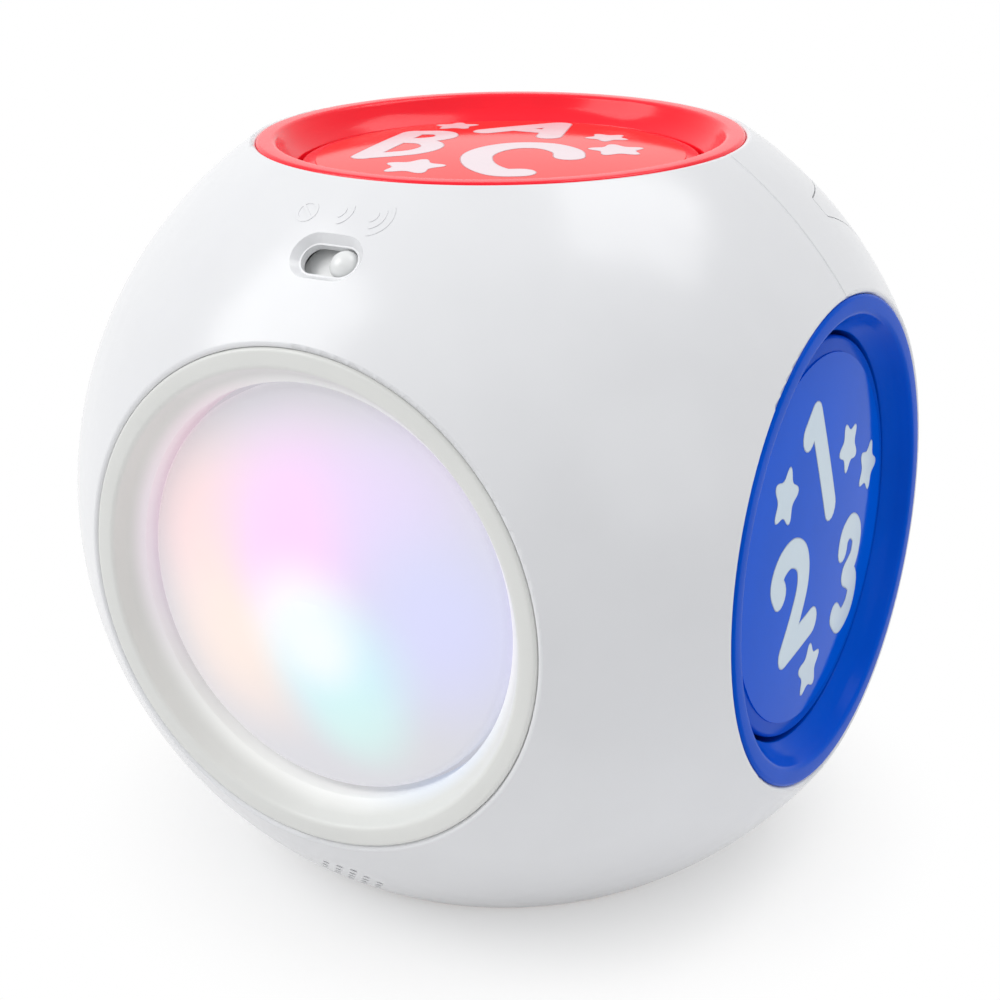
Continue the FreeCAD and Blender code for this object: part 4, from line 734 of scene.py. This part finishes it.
def fused(pieces):
    """One mesh from several overlapping solids, which are used up."""
    for other in pieces[1:]:
        join = pieces[0].modifiers.new("join", "BOOLEAN")
        join.solver = "MANIFOLD"
        join.operation = "UNION"
        join.object = other
    bpy.context.view_layer.update()
    whole = pieces[0].evaluated_get(bpy.context.evaluated_depsgraph_get())
    mesh = bpy.data.meshes.new_from_object(whole)
    for piece in pieces:
        bpy.data.objects.remove(piece)
    return mesh


print("faces of a star's slab:", len(star(0, 0, 5, 0)) + 2)

# %% [markdown]
# A flat sign would cut through the crowned disc.  Every point of it is dropped by the
# same amount as the crown below it, and two layers of different width are printed.

# %% Signs pressed onto a disc
PRINT_CREASE = math.radians(40)
PRINT_EDGE = 0.22
PRINT_LAYERS = (("edge", PRINT_EDGE, -0.15, 0.03), ("ink", 0.0, -0.1, 0.06))


def pressed(mesh, face, low, high):
    """Bend a flat slab onto the crown of a printed disc."""
    place = frame_of(*FACES[face])
    form = bmesh.new()
    form.from_mesh(mesh)
    bmesh.ops.triangulate(form, faces=form.faces, ngon_method="BEAUTY")
    for vertex in form.verts:
        x, y, level = vertex.co
        drop = CROWN_RADIUS - math.sqrt(CROWN_RADIUS ** 2 - x * x - y * y)
        height = low + (high - low) * level
        vertex.co = place @ Vector((x * MM, y * MM, REACH - (DISC_DEPTH + drop - height) * MM))
    form.to_mesh(mesh)
    form.free()
    mesh.shade_smooth()
    mesh.set_sharp_from_angle(angle=PRINT_CREASE)
    return mesh


def stamped(name, slabs, face, low, high, finish):
    """One sign, as a solid that moves with its button."""
    piece = shown_piece(name, pressed(fused(slabs), face, low, high), [finish])
    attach(piece, face + "_cap")


def printed(name, face, signs, ink, edge_ink):
    """Print signs on a disc.  A sign is a list of (path, width)."""
    for (part, grow, low, high), finish in zip(PRINT_LAYERS, (edge_ink, ink)):
        for number, sign in enumerate(signs):
            slabs = [slab(thick(path, width + 2 * grow)) for path, width in sign]
            stamped(f"{name}_{part}_{number + 1}", slabs, face, low, high, finish)


def printed_stars(name, face, stars, ink, edge_ink):
    """Print stars on a disc.  A star is (across, up, radius, tilt)."""
    for (part, grow, low, high), finish in zip(PRINT_LAYERS, (edge_ink, ink)):
        for number, (x, y, radius, tilt) in enumerate(stars):
            slabs = [slab(star(x, y, radius + grow, tilt))]
            stamped(f"{name}_{part}_star_{number + 1}", slabs, face, low, high, finish)


print("layers of a print:", len(PRINT_LAYERS))

# %% [markdown]
# ## Button faces
#
# The buttons aren't flat plates: each is a shallow crown with a smooth rim round the
# printed disc, so that a palm can push it anywhere.  One turned cover makes the crown
# and the rim of a button, and a thin turned disc carries the print.

# %% Covers and discs
DISC_LIFT = 0.7
DISC_DEPTH = LABEL_DEPTH - DISC_LIFT
DISC_STANDS = 0.32
COVER_CENTRE = DISC_DEPTH + DISC_STANDS
CROWN_RISE = 0.85
CROWN_RADIUS = (LABEL_RADIUS ** 2 + CROWN_RISE ** 2) / (2 * CROWN_RISE)
RIM_STEP = 0.05
RIM_DEPTH = COVER_CENTRE + CROWN_RISE + RIM_STEP
RIM_FALL = 0.22
RIM_ROUND = 0.9
COVER_FIT = 0.04
COVER_SKIRT = 9.6
COVER_WALL = 1.6
COVER_ROOF = 0.6
ROOF_EDGE = 1.4
COVER_SEAT = 0.25
DISC_THICK = 0.3
DISC_BEVEL = 0.1
AXIS_GAP = 0.02


def crowned(depth, radius, steps=26):
    """Points from the centre outward on a shallow crown, as outline corners."""
    rows = []
    for step in range(steps + 1):
        r = radius * step / steps
        drop = CROWN_RADIUS - math.sqrt(CROWN_RADIUS ** 2 - r * r)
        rows.append((max(r, AXIS_GAP), depth + drop, 0))
    return rows


def cover_outline():
    """Cross-section of a cover: crown, rim and skirt."""
    outside = CAP_RADIUS + COVER_FIT
    return softened([
        *crowned(COVER_CENTRE, LABEL_RADIUS + COVER_SEAT),
        (outside, RIM_DEPTH + RIM_FALL, RIM_ROUND),
        (outside, COVER_SKIRT, 0),
        (outside - COVER_WALL, COVER_SKIRT, 0),
        (outside - COVER_WALL, RIM_DEPTH + ROOF_EDGE, 0),
        (AXIS_GAP, COVER_CENTRE + COVER_ROOF, 0),
    ])


def disc_outline():
    """Cross-section of the thin printed disc."""
    top = crowned(DISC_DEPTH, LABEL_RADIUS - DISC_BEVEL)
    under = crowned(DISC_DEPTH + DISC_THICK, LABEL_RADIUS)
    return softened(top + list(reversed(under)))


for face in BUTTON_FACES:
    finish = RING_COLOURS[face]
    cover = spun("cover_" + face, cover_outline(), face, FINISHES[finish])
    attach(cover, face + "_cap")
    label_finish = finish.replace("plastic", "label")
    disc = spun("disc_" + face, disc_outline(), face, FINISHES[label_finish])
    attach(disc, face + "_cap")
    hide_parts("label_" + face)
print("covers and discs:", len(BUTTON_FACES))

# %% [markdown]
# ## Numbers on the blue button
#
# Each sign is a few strokes of one width.  A stroke follows a short list of points, in
# millimetres from the centre of the disc, through which a smooth path runs.

# %% One, two, three
BLUE_INK = plastic("blue_ink", (0.60, 0.72, 0.80), polish=0.22, drift=0.01)
BLUE_EDGE = plastic("blue_edge", (0.25, 0.33, 0.47), polish=0.3, drift=0.02)
ONE = chain((-6.1, 23.2), (-2.3, 26.3), (6.3, 4.8), width=5.6)
TWO = [(curve_through([(-18.4, -5.3), (-20.0, -2.2), (-17.3, 0.8), (-12.4, 1.5), (-7.8, -1.4),
                       (-6.9, -6.7), (-9.8, -12.8), (-14.5, -19.3)]), 5.7),
       (straight((-14.5, -19.3), (-1.2, -17.3)), 5.7)]
THREE = [(curve_through([(15.2, -7.9), (16.2, -5.3), (20.1, -4.2), (23.7, -7.3), (22.5, -11.9),
                         (18.1, -14.3)]), 5.1),
         (curve_through([(18.1, -14.3), (22.5, -17.7), (21.1, -22.3), (16.3, -24.3),
                         (12.7, -21.6)]), 5.1)]
BLUE_STARS = ((-16.9, 14.3, 5.9, -2), (16.0, 14.4, 5.3, 39),
              (28.4, 6.2, 5.4, -6), (-0.7, -28.2, 5.6, 19))
printed("number", "right", (ONE, TWO, THREE), BLUE_INK, BLUE_EDGE)
printed_stars("number", "right", BLUE_STARS, BLUE_INK, BLUE_EDGE)
print("stars on the blue button:", len(BLUE_STARS))

# %% [markdown]
# ## Letters on the red button
#
# The first three letters stand round the middle, each turned a little.  A ready font
# would be quicker, but its strokes are too thin and its corners too sharp for this toy.

# %% A, B, C
RED_INK = plastic("red_ink", (0.84, 0.70, 0.74), polish=0.22, drift=0.01)
RED_EDGE = plastic("red_edge", (0.55, 0.22, 0.24), polish=0.3, drift=0.02)
LETTER_A = chain((-13.8, 17.7), (-4.4, 33.2), (1.4, 17.7), width=5.2) + chain(
    (-10.4, 22.9), (-1.4, 22.9), width=4.2)
LETTER_B = [(straight((-27.2, 10.4), (-22.8, -15.7)), 5.0),
            (curve_through([(-27.2, 10.4), (-21.6, 12.2), (-18.2, 8.6), (-19.6, 4.3),
                            (-24.4, 1.2)]), 4.6),
            (curve_through([(-24.4, 1.2), (-18.6, 1.4), (-14.6, -3.0), (-15.6, -9.4),
                            (-22.8, -15.7)]), 4.6)]
LETTER_C = [(curve_through([(15.4, 0.6), (12.4, 5.1), (6.4, 7.8), (0.6, 5.5), (-2.0, -0.3),
                            (-1.2, -7.3), (3.6, -14.3), (9.8, -18.1), (13.8, -16.6)]), 6.2)]
RED_STARS = ((-8.0, -20.5, 6.4, 28), (20.4, 11.7, 5.9, 55),
             (12.4, 22.9, 4.6, 2), (-23.6, 21.8, 4.7, 40))
printed("letter", "top", (LETTER_A, LETTER_B, LETTER_C), RED_INK, RED_EDGE)
printed_stars("letter", "top", RED_STARS, RED_INK, RED_EDGE)
print("stars on the red button:", len(RED_STARS))

# %% [markdown]
# ## Shapes and notes on the other three buttons
#
# The yellow and orange buttons show plain shapes and the green one shows musical
# notes.  They use the same pen, so all five buttons look like one set.

# %% Shapes and notes
CREAM_INK = plastic("cream_ink", (0.78, 0.78, 0.74), polish=0.22, drift=0.01)
CREAM_EDGE = plastic("cream_edge", (0.45, 0.42, 0.34), polish=0.3, drift=0.02)


def closed_loop(count, x, y, radius, tilt):
    """Corners of a regular figure, the first one repeated at the end."""
    angles = [math.radians(tilt + 360 / count * step) for step in range(count + 1)]
    return [(x + radius * math.cos(a), y + radius * math.sin(a)) for a in angles]


def note(x, y, height):
    """Quaver: a round head, a stem and a flag."""
    top = y + height
    return [(straight((x - 1.1, y - 0.3), (x + 1.1, y + 0.3)), 5.6),
            (straight((x + 2.7, y), (x + 2.7, top)), 1.9),
            (curve_through([(x + 2.7, top), (x + 4.8, top - 3.0), (x + 7.0, top - 5.2)]), 2.2)]


TRIANGLE = chain(*closed_loop(3, -13.0, 14.0, 8.0, 96), width=4.2)
SQUARE = chain(*closed_loop(4, 15.0, 10.0, 8.4, 32), width=4.2)
ROUND = [(bow(0.0, -17.0, 8.2, 0, 190), 4.2), (bow(0.0, -17.0, 8.2, 180, 370), 4.2)]
SHAPE_STARS = ((2.0, 27.5, 5.4, 12), (-25.5, -9.0, 5.4, 40), (25.0, -13.0, 5.4, 66))
for face in ("left", "bottom"):
    label_finish = RING_COLOURS[face].replace("plastic", "label")
    printed("shape_" + face, face, (TRIANGLE, SQUARE, ROUND), CREAM_INK, CREAM_EDGE)
    printed_stars("shape_" + face, face, SHAPE_STARS, CREAM_INK, CREAM_EDGE)
NOTES = (note(-18.0, 6.0, 17.0), note(8.0, 9.0, 16.0), note(-5.0, -24.0, 18.0))
NOTE_STARS = ((-23.0, -10.0, 5.4, 20), (22.0, -8.0, 5.4, 50), (-1.0, 31.0, 4.6, 12))
printed("note", "back", NOTES, CREAM_INK, CREAM_EDGE)
printed_stars("note", "back", NOTE_STARS, CREAM_INK, CREAM_EDGE)

# %% [markdown]
# ## Volume knob and its signs
#
# The knob is a small smooth dome on a plate that closes the slot from inside.  Both
# are measured on the working knob, so they slide in the slot exactly as it does.

# %% Measuring the knob
KNOB_ZONE = 1.5
SLOPE = math.radians(45)


def edge_frame(angle):
    """Place on the ball above the front face, an angle down from the top."""
    up = Vector((0, math.cos(angle), math.sin(angle)))
    across = Vector((1, 0, 0))
    turn = Matrix((across, up, across.cross(up))).transposed().to_4x4()
    return Matrix.Translation(CENTRE) @ turn


knob_spots = [edge_frame(SLOPE).inverted() @ v.co / MM for v in nodes["volume_knob"].data.vertices]
KNOB_TOP = max(p.z for p in knob_spots)
round_part = [p for p in knob_spots if p.z > KNOB_TOP - KNOB_ZONE]
KNOB_AT = (max(p.x for p in round_part) + min(p.x for p in round_part)) / 2
KNOB_RADIUS = (max(p.x for p in round_part) - min(p.x for p in round_part)) / 2
PLATE_LENGTH = max(p.x for p in knob_spots) - min(p.x for p in knob_spots)
PLATE_WIDTH = max(p.y for p in knob_spots) - min(p.y for p in knob_spots)
PLATE_LOW = min(p.z for p in knob_spots)
print(f"knob radius {KNOB_RADIUS:.2f} at {KNOB_AT:.2f}, plate {PLATE_LENGTH:.1f} by {PLATE_WIDTH:.1f} mm")

# %% [markdown]
# The dome could be a scaled sphere, but a sphere has no straight collar.  Rings of
# points, one above the other, give the collar and the dome in one closed mesh.

# %% A smooth knob
PLATE_THICK = 1.0
DOME_SHARE = 0.82


def knob_mesh(steps=96, rows=18):
    """Straight collar with a dome on it."""
    form = bmesh.new()
    place = edge_frame(SLOPE)
    rings = []
    dome = KNOB_RADIUS * DOME_SHARE
    profile = [(KNOB_RADIUS, PLATE_LOW + PLATE_THICK / 2)]
    profile += [(KNOB_RADIUS * math.cos(a), KNOB_TOP - dome + dome * math.sin(a))
                for a in (math.pi / 2 * row / rows for row in range(rows))]
    for radius, height in profile:
        rings.append([form.verts.new(place @ Vector(((KNOB_AT + radius * math.cos(t)) * MM,
                                                     radius * math.sin(t) * MM, height * MM)))
                      for t in (2 * math.pi * step / steps for step in range(steps))])
    for lower, upper in zip(rings, rings[1:]):
        for step in range(steps):
            onward = (step + 1) % steps
            form.faces.new((lower[step], lower[onward], upper[onward], upper[step]))
    tip = form.verts.new(place @ Vector((KNOB_AT * MM, 0, KNOB_TOP * MM)))
    for step in range(steps):
        form.faces.new((rings[-1][step], rings[-1][(step + 1) % steps], tip))
    form.faces.new(list(reversed(rings[0])))
    bmesh.ops.recalc_face_normals(form, faces=form.faces)
    mesh = bpy.data.meshes.new("knob")
    form.to_mesh(mesh)
    form.free()
    mesh.shade_smooth()
    return mesh


knob = shown_piece("volume_button", knob_mesh(), [FINISHES["knob_plastic"]])
print("knob faces:", len(knob.data.polygons))

# %% [markdown]
# The plate has round ends.  A short straight stroke of the round pen is just that
# shape, so the tool that drew the signs draws the plate too.

# %% The plate below the knob
PLATE_CAP_STEPS = 24


def moved_to(mesh, place):
    """Turn a slab in mm into a mesh in its place."""
    for vertex in mesh.vertices:
        vertex.co = place @ (vertex.co * MM)
    mesh.update()
    return mesh


half_run = (PLATE_LENGTH - PLATE_WIDTH) / 2
plate_path = straight((KNOB_AT - half_run, 0), (KNOB_AT + half_run, 0))
plate_mesh = fused([slab(thick(plate_path, PLATE_WIDTH, PLATE_CAP_STEPS))])
for vertex in plate_mesh.vertices:
    vertex.co.z = PLATE_LOW + PLATE_THICK * vertex.co.z
plate = shown_piece("volume_plate", moved_to(plate_mesh, edge_frame(SLOPE)), [FINISHES["knob_plastic"]])
for piece in (plate, knob):
    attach(piece, "volume_slider")
    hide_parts("volume_knob")
print("plate faces:", len(plate.data.polygons))

# %% [markdown]
# ## Raised signs
#
# Three signs are raised in the shell above the slot: off, soft and loud.  On the real
# toy they are cut into the mould.  The shell is a working part and keeps its mesh, so
# here they are strokes of the same pen, a tenth of a millimetre proud of the ball.

# %% Signs above the slot
SIGN_ANGLE = math.radians(39.2)
SIGN_PROUD = 0.09
SIGN_ROOT = 0.15
SIGN_PEN = 0.6


def raised(name, at, strokes):
    """Signs that stand proud of the ball."""
    mesh = fused([slab(thick(path, width)) for path, width in strokes])
    form = bmesh.new()
    form.from_mesh(mesh)
    bmesh.ops.triangulate(form, faces=form.faces, ngon_method="BEAUTY")
    place = edge_frame(SIGN_ANGLE)
    for vertex in form.verts:
        x, y, level = vertex.co
        height = BALL - SIGN_ROOT + (SIGN_PROUD + SIGN_ROOT) * level
        vertex.co = place @ (Vector((at + x, y, BALL)).normalized() * height * MM)
    form.to_mesh(mesh)
    form.free()
    mesh.shade_smooth()
    mesh.set_sharp_from_angle(angle=PRINT_CREASE)
    piece = shown_piece(name, mesh, [FINISHES["white_shell"]])
    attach(piece, "housing")


OFF_AT = -7.9
OFF_RADIUS = 2.1
OFF_SLASH = 1.5
LOUDNESS = (("sign_soft", 0.8, 2), ("sign_loud", 8.4, 3))
WAVE_SHIFT = 0.8
WAVE_START = 1.4
WAVE_RISE = 0.9
WAVE_FIRST = 1.6
WAVE_STEP = 1.5
WAVE_TILT = -22
raised("sign_off", OFF_AT, [(bow(0, 0, OFF_RADIUS, 0, 190), SIGN_PEN),
                            (bow(0, 0, OFF_RADIUS, 180, 370), SIGN_PEN),
                            (straight((-OFF_SLASH, OFF_SLASH), (OFF_SLASH, -OFF_SLASH)), SIGN_PEN)])
for name, at, arcs in LOUDNESS:
    start = -WAVE_SHIFT * (arcs - 1)
    for number in range(arcs):
        sweep = 38 + 6 * number
        arc = bow(start - WAVE_START, WAVE_RISE, WAVE_FIRST + WAVE_STEP * number,
                  WAVE_TILT - sweep, WAVE_TILT + sweep, 16)
        raised(f"{name}_{number + 1}", at, [(arc, SIGN_PEN)])

# %% [markdown]
# ## Springs and pads
#
# Behind each face, three steel springs push the cap back out and a silicone pad closes
# the contact.  Both shorten when the cap is pressed.  The coils and pads of the working
# model are lifted out face by face, as one set for each face fixed to the housing.


def nearest_face(point):
    """Name of the face whose outward direction a point lies along most."""
    local = point - CENTRE
    return max(FACES, key=lambda face: local.dot(FACES[face][0].cross(FACES[face][1])))


def lifted_out(node, name, face):
    """Copy of the solids of a shared part that lie behind one face."""
    form = bmesh.new()
    form.from_mesh(nodes[node].data)
    others = [v for v in form.verts if nearest_face(v.co) != face]
    bmesh.ops.delete(form, geom=others, context="VERTS")
    mesh = bpy.data.meshes.new(name)
    form.to_mesh(mesh)
    form.free()
    mesh.shade_smooth()
    mesh.set_sharp_from_angle(angle=PRINT_CREASE)
    return mesh


for node, title, finish in (("cap_springs", "return_springs", "spring_steel"),
                            ("contact_pads", "contact_pad", "silicone")):
    for face in FACES:
        mesh = lifted_out(node, f"{title}_{face}", face)
        piece = shown_piece(f"{title}_{face}", mesh, [FINISHES[finish]])
        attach(piece, "housing")
        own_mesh(piece)
        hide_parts(node)

# %% [markdown]
# ## A light tent
#
# A glossy ball shows whatever stands round it.  In a light tent everything is pale, so
# the ball keeps its colour and only soft, wide highlights remain.

# %% A white sky
def shows_background(tree_nodes, links, light_path):
    """One for rays that show the white background: seen, mirrored or through glass."""
    shown = light_path.outputs["Is Camera Ray"]
    for ray in ("Is Glossy Ray", "Is Transmission Ray"):
        either = tree_nodes.new("ShaderNodeMath")
        either.operation = "MAXIMUM"
        links.new(shown, either.inputs[0])
        links.new(light_path.outputs[ray], either.inputs[1])
        shown = either.outputs[0]
    return shown


SKY_COLOUR = (0.955, 0.965, 1.0, 1)
SKY_LIGHT = 0.45
PURE_WHITE = (1, 1, 1, 1)
world = bpy.data.worlds.new("tent")
bpy.context.scene.world = world
world.use_nodes = True
sky_nodes = world.node_tree.nodes
sky_links = world.node_tree.links
sky = sky_nodes["Background"]
path = sky_nodes.new("ShaderNodeLightPath")
white_sky = sky_nodes.new("ShaderNodeBackground")
white_sky.inputs["Strength"].default_value = 1.0
white_sky.inputs["Color"].default_value = PURE_WHITE
sky.inputs["Color"].default_value = SKY_COLOUR
sky.inputs["Strength"].default_value = SKY_LIGHT
pick = sky_nodes.new("ShaderNodeMixShader")
sky_links.new(shows_background(sky_nodes, sky_links, path), pick.inputs[0])
sky_links.new(sky.outputs[0], pick.inputs[1])
sky_links.new(white_sky.outputs[0], pick.inputs[2])
sky_links.new(pick.outputs[0], sky_nodes["World Output"].inputs[0])
print("light of the sky", SKY_LIGHT)

# %% [markdown]
# The floor takes a soft shadow close to the toy and melts into the white sky further
# out.  A plain white floor would show a grey horizon, so its glow grows with distance.

# %% A floor that melts into the sky
FLOOR_RADIUS = 6.0
FLOOR_CLEARANCE = 0.0002
FLOOR_PAINT = (0.86, 0.86, 0.86, 1)
FLOOR_ROUGHNESS = 0.9
SHADOW_REACH = (0.045, 0.10)
SHADOW_GLOW = 0.45
floor_mesh = bpy.data.meshes.new("floor")
grid = bmesh.new()
bmesh.ops.create_circle(grid, cap_ends=True, segments=96, radius=FLOOR_RADIUS)
grid.to_mesh(floor_mesh)
grid.free()
floor = bpy.data.objects.new("floor", floor_mesh)
bpy.context.scene.collection.objects.link(floor)
floor.location.z = low_corner.z - FLOOR_CLEARANCE
material, tree_nodes, links = new_finish("pale_floor")
shader = tree_nodes["Principled BSDF"]
shader.inputs["Base Color"].default_value = FLOOR_PAINT
shader.inputs["Roughness"].default_value = FLOOR_ROUGHNESS
glow = tree_nodes.new("ShaderNodeEmission")
glow.inputs["Color"].default_value = PURE_WHITE
where = tree_nodes.new("ShaderNodeNewGeometry")
apart = tree_nodes.new("ShaderNodeVectorMath")
apart.operation = "LENGTH"
links.new(where.outputs["Position"], apart.inputs[0])
fade = tree_nodes.new("ShaderNodeMapRange")
fade.interpolation_type = "SMOOTHSTEP"
fade.inputs["From Min"].default_value = SHADOW_REACH[0]
fade.inputs["From Max"].default_value = SHADOW_REACH[1]
fade.inputs["To Min"].default_value = SHADOW_GLOW
links.new(apart.outputs["Value"], fade.inputs["Value"])
seen = tree_nodes.new("ShaderNodeLightPath")
both = tree_nodes.new("ShaderNodeMath")
both.operation = "MULTIPLY"
links.new(fade.outputs["Result"], both.inputs[0])
links.new(shows_background(tree_nodes, links, seen), both.inputs[1])
mixer = tree_nodes.new("ShaderNodeMixShader")
links.new(both.outputs[0], mixer.inputs[0])
links.new(shader.outputs[0], mixer.inputs[1])
links.new(glow.outputs[0], mixer.inputs[2])
links.new(mixer.outputs[0], tree_nodes["Material Output"].inputs["Surface"])
floor_mesh.materials.append(material)
print("shadow fades between", SHADOW_REACH[0], "and", SHADOW_REACH[1], "m")

# %% [markdown]
# Three square lamps stand for the lit walls of the tent.  Wide lamps give wide, soft
# highlights; small ones would leave hard white dots on the ball.

# %% Lamps
def softbox(name, at, size, watts):
    """Square area lamp that points at the toy."""
    data = bpy.data.lights.new(name, "AREA")
    data.shape = "SQUARE"
    data.size = size
    data.energy = watts
    lamp = bpy.data.objects.new(name, data)
    lamp.location = CENTRE + Vector(at)
    lamp.rotation_euler = (CENTRE - lamp.location).to_track_quat("-Z", "Y").to_euler()
    bpy.context.scene.collection.objects.link(lamp)


softbox("key", (-0.9, -0.7, 1.0), 0.9, 12.0)
softbox("fill", (1.3, -0.5, 0.5), 0.8, 2.2)
softbox("top", (0.5, 0.45, 1.35), 0.8, 8.0)
bpy.context.scene.view_settings.view_transform = "Standard"
